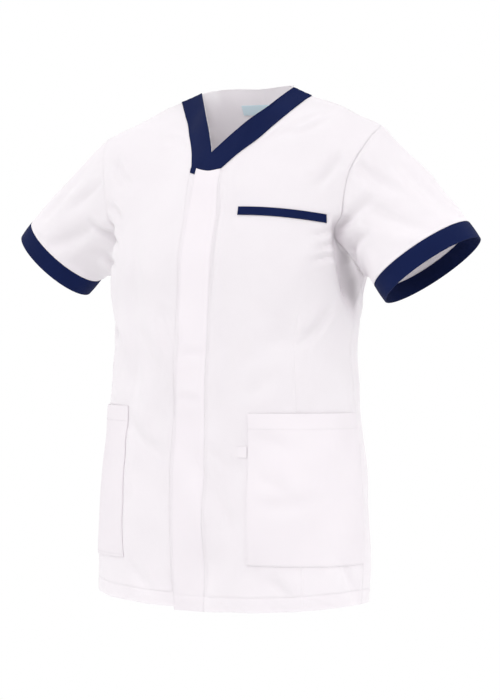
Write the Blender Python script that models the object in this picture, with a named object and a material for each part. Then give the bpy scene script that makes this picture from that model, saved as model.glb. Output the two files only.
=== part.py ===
"""A short-sleeved medical tunic, filled out as when worn, with nobody inside.

Metres. +X is the wearer's left, -Y the front and +Z up. The origin is midway between the inner ends of the two
shoulder seams, where the neck carries the tunic.
"""

from collections import namedtuple
from math import pi

import bpy
import numpy as np

# Cloth
WALL = 0.0012
SEAM_GAP = 0.0003
LAP_STEP = WALL + 2 * SEAM_GAP
SMALL_PIECE_LIFT = 0.0005
SLEEVE_SEAM_GAP = 0.0010

# Hem heights of each quarter of the body, at the centre and at the side seam
Hem = namedtuple("Hem", "centre_z side_z")
HEM_FRONT_LEFT = Hem(-0.7550, -0.7430)
HEM_FRONT_RIGHT = Hem(-0.7510, -0.7370)
HEM_BACK_LEFT = Hem(-0.7450, -0.7425)
HEM_BACK_RIGHT = Hem(-0.7450, -0.7370)

# Body sections, from the hem up to the underarm: where the centre front, the side seam and the centre back lie
Section = namedtuple("Section", "z front_y side_y back_y half_width")
SECTIONS = (
    Section(-0.760, -0.1500, -0.040, 0.062, 0.2215),
    Section(-0.690, -0.1525, -0.030, 0.063, 0.2195),
    Section(-0.600, -0.1550, -0.026, 0.064, 0.2155),
    Section(-0.510, -0.1500, -0.022, 0.063, 0.2065),
    Section(-0.440, -0.1465, -0.023, 0.062, 0.1995),
    Section(-0.380, -0.1430, -0.025, 0.062, 0.1955),
    Section(-0.330, -0.1385, -0.018, 0.067, 0.2000),
    Section(-0.277, -0.1355, -0.008, 0.072, 0.2070),
)
FRONT_SQUARENESS = 2.6
BACK_SQUARENESS = 2.3

# Lines that bound the yoke, on the wearer's left, from the underarm up to the shoulder
Spot = namedtuple("Spot", "x y z")
UNDERARM = Spot(0.207, -0.008, -0.277)
NECK_POINT = Spot(0.082, 0.000, 0.000)
SHOULDER_TIP = Spot(0.243, -0.019, -0.062)
SHOULDER_SEAM = (NECK_POINT, Spot(0.160, -0.008, -0.0280), SHOULDER_TIP)
ARMHOLE_FRONT = (
    UNDERARM,
    Spot(0.2050, -0.034, -0.250),
    Spot(0.2030, -0.055, -0.220),
    Spot(0.2070, -0.066, -0.180),
    Spot(0.2170, -0.064, -0.130),
    Spot(0.2340, -0.042, -0.085),
    SHOULDER_TIP,
)
ARMHOLE_BACK = (
    UNDERARM,
    Spot(0.2090, 0.014, -0.250),
    Spot(0.2080, 0.032, -0.220),
    Spot(0.2120, 0.047, -0.180),
    Spot(0.2210, 0.045, -0.130),
    Spot(0.2360, 0.018, -0.085),
    SHOULDER_TIP,
)
CENTRE_FRONT = (
    Spot(0, -0.1355, -0.277),
    Spot(0, -0.1325, -0.245),
    Spot(0, -0.1237, -0.205),
    Spot(0, -0.1090, -0.155),
    Spot(0, -0.0945, -0.119),
    Spot(0, -0.0760, -0.085),
    Spot(0, -0.0500, -0.045),
)
CENTRE_BACK = (
    Spot(0, 0.072, -0.277),
    Spot(0, 0.078, -0.220),
    Spot(0, 0.079, -0.160),
    Spot(0, 0.072, -0.100),
    Spot(0, 0.060, -0.050),
    Spot(0, 0.040, 0.006),
)
NECK_FRONT = (CENTRE_FRONT[-1], Spot(0.045, -0.036, -0.032), NECK_POINT)
NECK_BACK = (CENTRE_BACK[-1], Spot(0.045, 0.031, 0.0075), Spot(0.072, 0.014, 0.005), NECK_POINT)
NECK_SHARE = 0.25
TOP_SOFTNESS = 0.20
YOKE_RISE_FRONT = (0.0, 0.036, 0.24)
YOKE_RISE_BACK = (0.0, 0.018, 0.24)
YOKE_TOP_FRONT = (0.0, 0.24, 0.080)
YOKE_TOP_BACK = (0.0, -0.20, 0.060)

# V neck: each neck edge is x = foot + rise * s + bow * s * s, with s from 0 at the foot of the V to 1 at the neck
# point, x measured towards that front's own side. The left front laps over the right one.
Edge = namedtuple("Edge", "lap foot rise bow")
V_FOOT_Z = -0.119
LEFT_EDGE = Edge(0.0250, -0.0250, 0.1085, -0.0015)
RIGHT_EDGE = Edge(0.0105, -0.0022, 0.0402, 0.0440)
BAND_WIDTH = 0.0350
RIGHT_BAND_FOOT_Z = -0.1265

# Under each arm the cloth is tucked in along a line, given on the wearer's left
TUCK_LINE = (
    Spot(0.206, -0.064, -0.190),
    Spot(0.203, -0.056, -0.225),
    Spot(0.203, -0.046, -0.262),
    Spot(0.203, -0.036, -0.300),
    Spot(0.198, -0.024, -0.340),
)
TUCK_WAY = (-0.86, 0.50, 0.0)
TUCK_DEPTH = 0.0085
TUCK_WIDTH = 0.0150

# Closing strip: how far past the centre its outer edge lies, below the height where it has its full width
PLACKET_OUTER_X = 0.0280
PLACKET_FULL_Z = -0.200

# Hip pockets, breast welt and small labels
Pocket = namedtuple("Pocket", "inner_x top_z foot_z")
POCKET_LEFT = Pocket(0.0970, -0.4710, -0.686)
POCKET_RIGHT = Pocket(0.1215, -0.4640, -0.685)
POCKET_SIDE_SHARE = 0.25
WELT_INNER_X = 0.0588
WELT_INNER_Z = -0.1768
WELT_OUTER_X = 0.1855
WELT_OUTER_Z = -0.1900
WELT_HEIGHT = 0.0122
LABEL_WIDTH = 0.076
LABEL_TOP_Z = -0.0165
LABEL_HEIGHT = 0.0145
TAB_INNER_X = 0.0815
TAB_OUTER_X = 0.0962
TAB_TOP_Z = -0.518
TAB_HEIGHT = 0.016
TRIM_WALL = 0.0010

# Sleeves: the rim of each opening, and how much fuller the band's back is above the rim
Cuff = namedtuple("Cuff", "centre axis outward long_radius short_radius back_fullness top_start")
CUFF_WIDTH = 0.028
CUFF_LEFT = Cuff(
    (0.3262, -0.0180, -0.2692), (0.590, 0.072, -0.813), (0.702, 0.463, 0.543), 0.0800, 0.063, 0.016, (0.70, 0.0, -0.71)
)
CUFF_RIGHT = Cuff(
    (-0.3646, 0.0076, -0.2510), (-0.702, -0.044, -0.784), (-0.808, -0.076, 0.587), 0.0720, 0.054, 0.010,
    (0.80, 0.0, -0.60)
)
SLEEVE_UNDER_START = (1.0, 0.0, 0.10)
SLEEVE_START_REACH = 0.45
SLEEVE_END_REACH = 0.70

# Grid sizes
LOWER_ROWS = 15
CHEST_ROWS = 10
NECK_ROWS = 11
STRIP_COLUMNS = 4
FRONT_COLUMNS = 19
BACK_COLUMNS = 15
SLEEVE_RINGS = 11

# Colours and finish
WHITE = (0.90, 0.89, 0.91)
NAVY = (0.012, 0.026, 0.085)
PALE_BLUE = (0.55, 0.72, 0.80)


def hermite(start, start_slope, end, end_slope, t):
    """Points at t, from 0 to 1, on the cubic with these ends and slopes."""
    return (
        (2 * t**3 - 3 * t**2 + 1) * start
        + (t**3 - 2 * t**2 + t) * start_slope
        + (3 * t**2 - 2 * t**3) * end
        + (t**3 - t**2) * end_slope
    )


def through(rows, knots, at):
    """The rows' smooth curve over the knots, read at each place in at."""
    rows = np.array(rows, float)
    slopes = np.gradient(rows, knots, axis=0)
    at = np.clip(at, knots[0], knots[-1])
    cell = np.clip(np.searchsorted(knots, at) - 1, 0, len(knots) - 2)
    width = (knots[cell + 1] - knots[cell])[..., None]
    t = (at[..., None] - knots[cell][..., None]) / width
    return hermite(rows[cell], slopes[cell] * width, rows[cell + 1], slopes[cell + 1] * width, t)


def curve(spots):
    """A smooth curve through the spots, as a function of the share of its length."""
    spots = np.array(spots, float)
    steps = np.sqrt(np.linalg.norm(np.diff(spots, axis=0), axis=1))
    knots = np.concatenate([[0.0], np.cumsum(steps)])
    dense = through(spots, knots, np.linspace(0, knots[-1], 400))
    length = np.concatenate([[0.0], np.cumsum(np.linalg.norm(np.diff(dense, axis=0), axis=1))])
    share = length / length[-1]

    def at(t):
        return np.stack([np.interp(t, share, dense[:, k]) for k in range(3)], axis=-1)

    return at


def mirrored_curve(spots):
    """A smooth curve through the spots, level where it crosses from its mirror image at the centre."""
    whole = curve([(-spot.x, spot.y, spot.z) for spot in spots[:0:-1]] + list(spots))
    return lambda t: whole(0.5 + t / 2)


def ramp(low, high, value):
    """0 below low, 1 above high, smooth between."""
    t = np.clip((value - low) / (high - low), 0, 1)
    return t * t * (3 - 2 * t)


class Half:
    """One quarter of the body's surface: a front, or half of the back, on the wearer's left (side 1) or right (-1).

    A place on it is p, from 0 at the centre to 1 at the side seam or armhole, and t, from 0 at the hem through 1 at
    the underarm to 2 at the shoulder seam. A negative p lies past the centre, on the other side.
    """

    def __init__(self, is_front, side, hem):
        self.is_front = is_front
        self.side = side
        self.mirror = np.array([side, 1, 1])
        self.squareness = FRONT_SQUARENESS if is_front else BACK_SQUARENESS
        self.hem = hem
        self.armhole = curve(ARMHOLE_FRONT if is_front else ARMHOLE_BACK)
        self.centre = curve(CENTRE_FRONT if is_front else CENTRE_BACK)
        self.neck = mirrored_curve(NECK_FRONT if is_front else NECK_BACK)
        self.seam = curve(SHOULDER_SEAM)
        self.rise = np.array(YOKE_RISE_FRONT if is_front else YOKE_RISE_BACK)
        self.top_slope = np.array(YOKE_TOP_FRONT if is_front else YOKE_TOP_BACK)
        self.folds = FRONT_FOLDS if is_front else BACK_FOLDS

    def lower(self, p, t):
        """Below the underarm: a quarter of a squared ellipse at each height."""
        angle = p * pi / 2
        hem = self.hem.side_z + (self.hem.centre_z - self.hem.side_z) * np.cos(angle) ** 2
        z = UNDERARM.z + (1 - t) * (hem - UNDERARM.z)
        knots = np.array([row.z for row in SECTIONS])
        section = through(SECTIONS, knots, z)
        middle = section[..., 1] if self.is_front else section[..., 3]
        side = section[..., 2]
        power = 2 / self.squareness
        x = section[..., 4] * np.sin(angle) ** power
        y = side + (middle - side) * np.clip(np.cos(angle), 0, 1) ** power
        return np.stack([x, y, z], axis=-1)

    def top(self, p):
        """The shoulder seam, and the neck line between its inner end and the centre."""
        on_neck = self.neck(np.clip(p / NECK_SHARE, 0, 1))
        on_seam = self.seam(np.clip((p - NECK_SHARE) / (1 - NECK_SHARE), 0, 1))
        return np.where((p < NECK_SHARE)[..., None], on_neck, on_seam)

    def soft_top(self, p, s):
        """The top line, its corner at the neck rounded off more and more below the shoulder."""
        spread = TOP_SOFTNESS * (1 - s)
        return sum(self.top(np.clip(p + share * spread, 0, 1)) for share in (-1, -0.5, 0, 0.5, 1)) / 5

    def yoke(self, p, s):
        """Above the underarm: smooth columns up to the shoulder, drawn to the centre line and the armhole."""
        across = p[..., None]
        up = s[..., None]

        def column(at):
            return hermite(self.lower(at, np.ones_like(at)), self.rise, self.soft_top(at, s), self.top_slope, up)

        to_centre = self.centre(s) - column(np.zeros_like(p))
        to_armhole = self.armhole(s) - column(np.ones_like(p))
        return column(p) + (1 - across) ** 2 * (1 + 2 * across) * to_centre + across**5 * to_armhole

    def smooth_point(self, p, t):
        """The surface without folds, on the wearer's left."""
        past_centre = np.where(p < 0, -1.0, 1.0)
        p, t = np.broadcast_arrays(np.abs(p), t)
        below = self.lower(p, np.clip(t, 0, 1))
        above = self.yoke(p, np.clip(t - 1, 0, 1))
        point = np.where((t < 1)[..., None], below, above)
        point[..., 0] *= past_centre
        return point

    def smooth_normal(self, p, t):
        """Unit vectors out of the cloth, the same for front and back along the shoulder seam."""
        step = 0.004
        past_centre = np.where(p < 0, -1.0, 1.0)
        p, t = np.broadcast_arrays(np.clip(np.abs(p), step, 1 - step), t)
        across = self.smooth_point(p + step, t) - self.smooth_point(p - step, t)
        up = self.smooth_point(p, np.clip(t + step, 0, 2)) - self.smooth_point(p, np.clip(t - step, 0, 2))
        out = unit(np.cross(across, up) * (1 if self.is_front else -1))
        level = unit(np.cross(across, [0.0, 1.0, 0.0]))
        share = ramp(1.86, 1.99, t)[..., None] * (p > NECK_SHARE * 0.7)[..., None]
        out = unit(out * (1 - share) + level * share)
        out[..., 0] *= past_centre
        return out

    def cloth(self, p, t, lift):
        """Points this far out of the cloth's own surface, with its folds."""
        point = self.smooth_point(p, t) * self.mirror
        depth = fold_depth(point, self.folds) * ramp(1.0, 0.90, np.abs(p))
        tucked = np.array(TUCK_WAY) * self.mirror * tuck_depth(point * self.mirror)[..., None]
        return point + self.smooth_normal(p, t) * self.mirror * (lift - depth)[..., None] + tucked



def unit(vectors):
    return vectors / np.linalg.norm(vectors, axis=-1, keepdims=True)


# Folds, in the front view: a soft trough (or ridge, where deep is negative) from one place to another
Fold = namedtuple("Fold", "x0 z0 x1 z1 width deep")
FRONT_FOLDS = (
    Fold(0.198, -0.300, 0.140, -0.365, 0.026, 0.0060),
    Fold(0.140, -0.365, 0.100, -0.390, 0.022, 0.0035),
    Fold(0.180, -0.235, 0.120, -0.300, 0.022, -0.0030),
    Fold(0.060, -0.560, -0.030, -0.470, 0.030, 0.0030),
    Fold(-0.150, -0.560, -0.110, -0.430, 0.030, 0.0030),
    Fold(-0.190, -0.360, -0.120, -0.420, 0.026, 0.0035),
    Fold(0.110, -0.700, 0.150, -0.760, 0.022, 0.0045),
    Fold(0.040, -0.690, 0.065, -0.760, 0.024, 0.0040),
    Fold(-0.100, -0.700, -0.115, -0.760, 0.024, 0.0040),
)
BACK_FOLDS = (
    Fold(0.195, -0.300, 0.120, -0.370, 0.028, 0.0060),
    Fold(-0.195, -0.305, -0.110, -0.385, 0.028, 0.0060),
    Fold(0.060, -0.330, 0.020, -0.480, 0.035, 0.0040),
    Fold(-0.050, -0.340, -0.070, -0.520, 0.035, 0.0040),
    Fold(0.120, -0.640, 0.135, -0.760, 0.028, 0.0045),
    Fold(-0.020, -0.660, -0.010, -0.760, 0.030, 0.0045),
    Fold(-0.150, -0.650, -0.140, -0.760, 0.028, 0.0040),
)


def fold_depth(points, folds):
    """How far the cloth lies inside its smooth surface, from the folds near each point."""
    depth = np.zeros(points.shape[:-1])
    for fold in folds:
        start = np.array([fold.x0, fold.z0])
        along = np.array([fold.x1, fold.z1]) - start
        away = points[..., [0, 2]] - start
        share = away @ along / (along @ along)
        nearest = away - np.clip(share, 0, 1)[..., None] * along
        depth += fold.deep * np.exp(-(nearest**2).sum(axis=-1) / fold.width**2)
    return depth


def tuck_depth(points):
    """How deep the cloth is tucked in under the arm, by the distance from the tuck's line on the wearer's left."""
    line = np.array(TUCK_LINE)
    along = ramp(line[0, 2] + 0.035, line[0, 2] - 0.020, points[..., 2])
    along = along * ramp(line[-1, 2] - 0.020, line[-1, 2] + 0.040, points[..., 2])
    return TUCK_DEPTH * along * np.exp(-((distance_to_line(points, line) / TUCK_WIDTH) ** 2))


FRONT_LEFT = Half(True, 1, HEM_FRONT_LEFT)
FRONT_RIGHT = Half(True, -1, HEM_FRONT_RIGHT)
BACK_LEFT = Half(False, 1, HEM_BACK_LEFT)
BACK_RIGHT = Half(False, -1, HEM_BACK_RIGHT)


def edge_x(z, edge):
    """A front's inner edge at this height: its lap line, or the neck edge above."""
    s = (z - V_FOOT_Z) / -V_FOOT_Z
    lowest = -edge.rise / (2 * edge.bow) if edge.bow > 0 else 0.0
    s = np.clip(s, lowest, 1)
    return np.maximum(edge.foot + edge.rise * s + edge.bow * s**2, -edge.lap)


def last_p(half, t, is_inside, first_p=-0.4):
    """The p in each row t up to which the half's points are inside, by halving."""
    low, high = np.full(t.shape, first_p), np.full(t.shape, 0.9)
    for _ in range(40):
        p = (low + high) / 2
        inside = is_inside(half.smooth_point(p, t))
        low, high = np.where(inside, p, low), np.where(inside, high, p)
    return p


def inner_p(half, edge, t):
    """The p of a front's inner edge in each row t."""
    p = last_p(half, t, lambda point: point[..., 0] < edge_x(point[..., 2], edge))
    return np.where(t >= 2, NECK_SHARE, p)


def placket_p(half, t, foot_x):
    """The p of the closing strip's outer edge in each row t below the neck band."""

    def is_inside(point):
        share = ramp(PLACKET_FULL_Z, V_FOOT_Z, point[..., 2])
        return point[..., 0] < PLACKET_OUTER_X + (foot_x - PLACKET_OUTER_X) * share

    return last_p(half, t, is_inside)


def band_edges(half, edge, foot_t, rows_t):
    """The p and t of the neck band's outer edge, opposite its inner edge in each row, by the share of their length."""
    t = np.linspace(foot_t, 2, 80)
    inner = inner_p(half, edge, t)
    line = half.smooth_point(inner, t)
    longer = np.concatenate([[2 * line[0] - line[4]], line, [2 * line[-1] - line[-5]]])
    outer = last_p(half, t, lambda point: distance_to_line(point, longer) < BAND_WIDTH, inner)
    share = np.interp(rows_t, t, length_share(line))
    outer_share = length_share(half.smooth_point(outer, t))
    return np.interp(share, outer_share, outer), np.interp(share, outer_share, t)


def length_share(line):
    length = np.concatenate([[0.0], np.cumsum(np.linalg.norm(np.diff(line, axis=0), axis=1))])
    return length / length[-1]


def distance_to_line(points, line):
    best = np.full(points.shape[:-1], np.inf)
    for start, end in zip(line[:-1], line[1:]):
        along = end - start
        share = np.clip((points - start) @ along / (along @ along), 0, 1)
        best = np.minimum(best, np.linalg.norm(points - start - share[..., None] * along, axis=-1))
    return best


def lap_lift(points):
    """How far the left front rides over the right one, and over its neck band at the foot of the V."""
    near = ramp(0.062, 0.034, points[..., 0])
    return near * LAP_STEP * (1 + ramp(-0.170, -0.140, points[..., 2]))


def blend(grid, row, column):
    """A grid's values at rows and columns that need not be whole, on its two triangles between four points."""
    row, column = np.broadcast_arrays(np.asarray(row, float), np.asarray(column, float))
    i = np.clip(row.astype(int), 0, grid.shape[0] - 2)
    j = np.clip(column.astype(int), 0, grid.shape[1] - 2)
    a, b = (row - i)[..., None], (column - j)[..., None]
    first, right, above, far = grid[i, j], grid[i, j + 1], grid[i + 1, j], grid[i + 1, j + 1]
    by_right = first + b * (right - first) + a * (far - right)
    by_above = first + a * (above - first) + b * (far - above)
    return np.where(b > a, by_right, by_above)


class Panel:
    """A cloth panel's grid of points, which the pieces that lie on it follow facet by facet."""

    def __init__(self, side, points, normals):
        self.side = side
        self.points = points
        self.normals = normals
        self.rows = np.arange(points.shape[0])
        self.columns = np.arange(points.shape[1])

    def at(self, row, column, lift):
        """Points this far out of the panel."""
        return blend(self.points, row, column) + unit(blend(self.normals, row, column)) * lift

    def row_at(self, column, z):
        return np.interp(z, blend(self.points, self.rows, column)[:, 2], self.rows)

    def column_at(self, x, z):
        """The column of the place at this x and z, x being positive towards the panel's own side."""
        column = len(self.columns) / 2
        for _ in range(20):
            row = self.row_at(column, z)
            column = np.interp(x, blend(self.points, row, self.columns)[:, 0] * self.side, self.columns)
        return column


def grid_solid(name, outer, inner, material, is_tube=False):
    """A wall between two grids of points, closed along its rims, or joined into a tube."""
    rows, columns, _ = outer.shape
    vertices = np.concatenate([outer.reshape(-1, 3), inner.reshape(-1, 3)])
    start = rows * columns
    faces = []
    last = columns if is_tube else columns - 1
    for i in range(rows - 1):
        for j in range(last):
            a, b = i * columns + j, i * columns + (j + 1) % columns
            c, d = b + columns, a + columns
            faces += [(a, b, c), (a, c, d)]
            faces += [(start + c, start + b, start + a), (start + d, start + c, start + a)]
    for j in range(last):
        a, b = j, (j + 1) % columns
        faces.append((start + a, start + b, b, a))
        a, b = a + (rows - 1) * columns, b + (rows - 1) * columns
        faces.append((a, b, start + b, start + a))
    if not is_tube:
        for i in range(rows - 1):
            a, d = i * columns, (i + 1) * columns
            faces.append((a, d, start + d, start + a))
            a, d = a + columns - 1, d + columns - 1
            faces.append((d, a, start + a, start + d))
    mesh = bpy.data.meshes.new(name)
    mesh.from_pydata(vertices.tolist(), [], faces)
    mesh.update()
    if signed_volume(vertices, faces) < 0:
        mesh.flip_normals()
    mesh.shade_smooth()
    mesh.set_sharp_from_angle(angle=pi / 4)
    mesh.materials.append(material)
    made = bpy.data.objects.new(name, mesh)
    PIECES.objects.link(made)
    return made


def signed_volume(vertices, faces):
    total = 0.0
    for face in faces:
        corner = vertices[list(face)]
        for k in range(1, len(face) - 1):
            total += np.dot(corner[0], np.cross(corner[k], corner[k + 1]))
    return total


def inset(grid, edge, amount):
    """Moves a grid's edge row or column towards its neighbour."""
    rows = {"first_row": (0, 1), "last_row": (-1, -2)}
    if edge in rows:
        at, beside = rows[edge]
        step = grid[beside] - grid[at]
        grid[at] += amount * step / np.linalg.norm(step, axis=-1, keepdims=True)
        return
    at, beside = (0, 1) if edge == "first_column" else (-1, -2)
    step = grid[:, beside] - grid[:, at]
    grid[:, at] += amount * step / np.linalg.norm(step, axis=-1, keepdims=True)


def fabric(name, colour, roughness):
    made = bpy.data.materials.new(name)
    made.use_nodes = True
    shader = made.node_tree.nodes["Principled BSDF"]
    shader.inputs["Base Color"].default_value = (*colour, 1)
    shader.inputs["Roughness"].default_value = roughness
    shader.inputs["Metallic"].default_value = 0.0
    return made


def front_panel(name, half, edge, foot_t, laps_over, material):
    """A front, from its inner edge to the side seam, armhole and shoulder seam."""
    below, above = BODY_ROWS[BODY_ROWS < foot_t], BODY_ROWS[BODY_ROWS >= foot_t]
    start = inner_p(half, edge, BODY_ROWS)
    band, band_t = band_edges(half, edge, foot_t, above)
    foot_x = half.smooth_point(band[:1], band_t[:1])[0, 0]
    strip_edge = np.concatenate([placket_p(half, below, foot_x), band])
    strip_t = np.concatenate([below, band_t])
    p = spread(start, strip_edge, np.ones(BODY_ROWS.shape))
    t = spread(BODY_ROWS, strip_t, BODY_ROWS)
    lift = lap_lift(half.smooth_point(p, t)) if laps_over else np.zeros(p.shape)
    return panel_solid(name, half.side, half.cloth(p, t, lift), half.smooth_normal(p, t) * half.mirror, material)


def spread(start, strip_edge, end):
    """Values in a front's columns: across the strip, and from there to the side."""
    near = np.linspace(0, 1, STRIP_COLUMNS)
    far = np.linspace(0, 1, FRONT_COLUMNS - STRIP_COLUMNS + 1)[1:]
    start, strip_edge, end = start[:, None], strip_edge[:, None], end[:, None]
    return np.concatenate([start + (strip_edge - start) * near, strip_edge + (end - strip_edge) * far], axis=1)


def back_panel(name, material):
    p = np.broadcast_to(np.linspace(0, 1, BACK_COLUMNS), (len(BODY_ROWS), BACK_COLUMNS))
    t = np.broadcast_to(BODY_ROWS[:, None], p.shape)
    points, normals = [], []
    for half in (BACK_RIGHT, BACK_LEFT):
        order = slice(None, 0, -1) if half is BACK_RIGHT else slice(None)
        points.append(half.cloth(p, t, np.zeros(p.shape))[:, order])
        normals.append((half.smooth_normal(p, t) * half.mirror)[:, order])
    return panel_solid(name, 1, np.concatenate(points, axis=1), np.concatenate(normals, axis=1), material)


def panel_solid(name, side, points, normals, material):
    walls = [points, points - normals * WALL]
    for wall in walls:
        inset(wall, "last_column", SEAM_GAP / 2)
        inset(wall, "last_row", SEAM_GAP / 2)
        if name == "back":
            inset(wall, "first_column", SEAM_GAP / 2)
    grid_solid(name, *walls, material)
    return Panel(side, points, normals)


def whole_between(low, high):
    """The whole numbers between two values, leaving out any that is close to one of them."""
    return np.arange(np.ceil(low + 0.15), np.floor(high - 0.15) + 1)


def laid_on(name, panel, columns, foot_rows, top_rows, lift, wall, material):
    """A four-sided piece that lies on a panel.

    columns holds the columns of its inner and outer edge, each at the foot and at the top. foot_rows and top_rows
    give the row of its foot and top at a column.
    """
    (inner_foot, inner_top), (outer_foot, outer_top) = columns
    whole_columns = whole_between(max(inner_foot, inner_top), min(outer_foot, outer_top))
    foot_columns = np.array([inner_foot, *whole_columns, outer_foot])
    top_columns = np.array([inner_top, *whole_columns, outer_top])
    foot, top = foot_rows(foot_columns), top_rows(top_columns)
    whole_rows = whole_between(foot.max(), top.min())
    row = np.stack([foot, *(np.full(foot.shape, whole) for whole in whole_rows), top])
    up = ((row[:, 0] - row[0, 0]) / (row[-1, 0] - row[0, 0]))[:, None]
    column = foot_columns + (top_columns - foot_columns) * up
    return grid_solid(name, panel.at(row, column, lift + wall), panel.at(row, column, lift), material)


def strip(name, panel, foot, top, material):
    """A band along a front's inner edge, between two rows."""
    inset_top = SEAM_GAP / 2 / np.linalg.norm(panel.at(top, 0, 0) - panel.at(top - 1, 0, 0))
    columns = ((0, 0), (STRIP_COLUMNS - 1, STRIP_COLUMNS - 1))

    def foot_rows(column):
        return np.full(column.shape, float(foot))

    def top_rows(column):
        return np.full(column.shape, top - inset_top)

    return laid_on(name, panel, columns, foot_rows, top_rows, SEAM_GAP, WALL, material)


def patch(name, panel, columns, inner_z, outer_z, height, lift, wall, material):
    """A piece with its top edge straight, from one height to another, and this far from its foot."""
    (inner, _), (outer, _) = columns

    def rows(column, drop):
        share = (column - inner) / (outer - inner)
        heights = inner_z + (outer_z - inner_z) * share - drop
        return np.array([panel.row_at(*place) for place in zip(column, heights)])

    return laid_on(
        name, panel, columns, lambda column: rows(column, height), lambda column: rows(column, 0.0), lift, wall,
        material
    )


def pocket(name, panel, size, material):
    """A patch pocket, from its inner edge to the side seam."""
    side = panel.columns[-1] - POCKET_SIDE_SHARE
    columns = ((panel.column_at(size.inner_x, size.foot_z), panel.column_at(size.inner_x, size.top_z)), (side, side))
    height = size.top_z - size.foot_z
    return patch(name, panel, columns, size.top_z, size.top_z, height, SEAM_GAP, WALL, material)


def small_patch(name, panel, inner_x, inner_z, outer_x, outer_z, height, lift, wall, material):
    """A small strip between two places, which are its upper corners."""
    inner, outer = panel.column_at(inner_x, inner_z), panel.column_at(outer_x, outer_z)
    return patch(name, panel, ((inner, inner), (outer, outer)), inner_z, outer_z, height, lift, wall, material)


def armhole_loop(front, back, depth):
    """The armhole's edge from the underarm up the front and down the back, and the way out of the panels there."""
    loops, ways = [], []
    for half in (front, back):
        p = np.ones_like(YOKE_ROWS_T)
        level = np.full(p.shape, -depth)
        edge = half.cloth(p, YOKE_ROWS_T, level)
        loops.append(edge)
        ways.append(unit(edge - half.cloth(p - 0.02, YOKE_ROWS_T, level)))
    for end in (0, -1):
        loops[0][end] = (loops[0][end] + loops[1][end]) / 2
        ways[0][end] = unit(ways[0][end] + ways[1][end])
    loop = np.concatenate([loops[0], loops[1][-2:0:-1]])
    way = np.concatenate([ways[0], ways[1][-2:0:-1]])
    return loop, way


def cuff_ring(cuff, count, back_along_axis, swell=0.0):
    """Points round the sleeve, from its underside up the front and down the back."""
    axis = unit(np.array(cuff.axis))
    outward = np.array(cuff.outward)
    outward = unit(outward - axis * (outward @ axis))
    forward = np.cross(axis, outward)
    forward *= -np.sign(forward[1])
    angle = np.linspace(0, 2 * pi, count, endpoint=False)[:, None]
    centre = np.array(cuff.centre) - axis * back_along_axis
    across = outward * (cuff.long_radius + swell) * np.cos(angle)
    fuller = cuff.back_fullness * (back_along_axis / CUFF_WIDTH) * (np.sin(angle) < 0)
    return centre - across + forward * (cuff.short_radius + fuller + swell) * np.sin(angle)


def tube_normals(rings):
    """Unit vectors out of a tube of rings."""
    along = np.gradient(rings, axis=0)
    around = np.roll(rings, -1, axis=1) - np.roll(rings, 1, axis=1)
    out = unit(np.cross(around, along))
    centre = rings.mean(axis=1, keepdims=True)
    return out if ((rings - centre) * out).sum() > 0 else -out


def sleeve(name, front, back, cuff, material):
    loop, way = armhole_loop(front, back, 0.0)
    end = cuff_ring(cuff, len(loop), CUFF_WIDTH)
    up = (loop[:, 2:] - UNDERARM.z) / (SHOULDER_TIP.z - UNDERARM.z)
    start_way = np.array(cuff.top_start) * up + np.array(SLEEVE_UNDER_START) * (1 - up)
    start_way = start_way * front.mirror
    reach = np.linalg.norm(end - loop, axis=-1, keepdims=True)
    start_slope = start_way * reach * SLEEVE_START_REACH
    end_slope = unit(np.array(cuff.axis)) * reach * SLEEVE_END_REACH
    share = np.linspace(0, 1, SLEEVE_RINGS)[:, None, None]
    outer = hermite(loop, start_slope, end, end_slope, share)
    inner = outer - tube_normals(outer) * WALL
    inner[0], _ = armhole_loop(front, back, WALL)
    for wall in (outer, inner):
        wall[0] += way * SLEEVE_SEAM_GAP
        inset(wall, "last_row", SEAM_GAP / 2)
    return grid_solid(name, outer, inner, material, is_tube=True)


def cuff_band(name, cuff, material):
    """The folded band on a sleeve's opening, thicker than the sleeve by a little on each face."""
    count = 2 * (len(YOKE_ROWS_T) - 1)
    walls = []
    for swell in (SEAM_GAP, -WALL - SEAM_GAP):
        rings = [cuff_ring(cuff, count, CUFF_WIDTH * back, swell) for back in (1.0, 0.5, 0.0)]
        wall = np.stack(rings)
        inset(wall, "first_row", SEAM_GAP / 2)
        walls.append(wall)
    return grid_solid(name, *walls, material, is_tube=True)


def start_fresh():
    for old in list(bpy.data.objects):
        bpy.data.objects.remove(old, do_unlink=True)
    made = bpy.data.collections.new("medical_tunic")
    bpy.context.scene.collection.children.link(made)
    return made


PIECES = start_fresh()
WHITE_CLOTH = fabric("white_cloth", WHITE, 0.85)
NAVY_CLOTH = fabric("navy_cloth", NAVY, 0.80)
LABEL_CLOTH = fabric("label_cloth", PALE_BLUE, 0.75)


def foot_row(half, edge, z):
    """The t at which a front's inner edge has this height."""
    t = np.linspace(1.2, 2, 400)
    return float(np.interp(z, half.smooth_point(inner_p(half, edge, t), t)[..., 2], t))


FOOT_T = foot_row(FRONT_LEFT, LEFT_EDGE, V_FOOT_Z)
BODY_ROWS = np.concatenate(
    [np.linspace(0, 1, LOWER_ROWS), np.linspace(1, FOOT_T, CHEST_ROWS)[1:], np.linspace(FOOT_T, 2, NECK_ROWS)[1:]]
)
FOOT_ROW = LOWER_ROWS + CHEST_ROWS - 2
YOKE_ROWS_T = BODY_ROWS[LOWER_ROWS - 1:]
TOP_ROW = len(BODY_ROWS) - 1

left = front_panel("front_left", FRONT_LEFT, LEFT_EDGE, FOOT_T, True, WHITE_CLOTH)
right = front_panel("front_right", FRONT_RIGHT, RIGHT_EDGE, FOOT_T, False, WHITE_CLOTH)
back = back_panel("back", WHITE_CLOTH)

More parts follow.
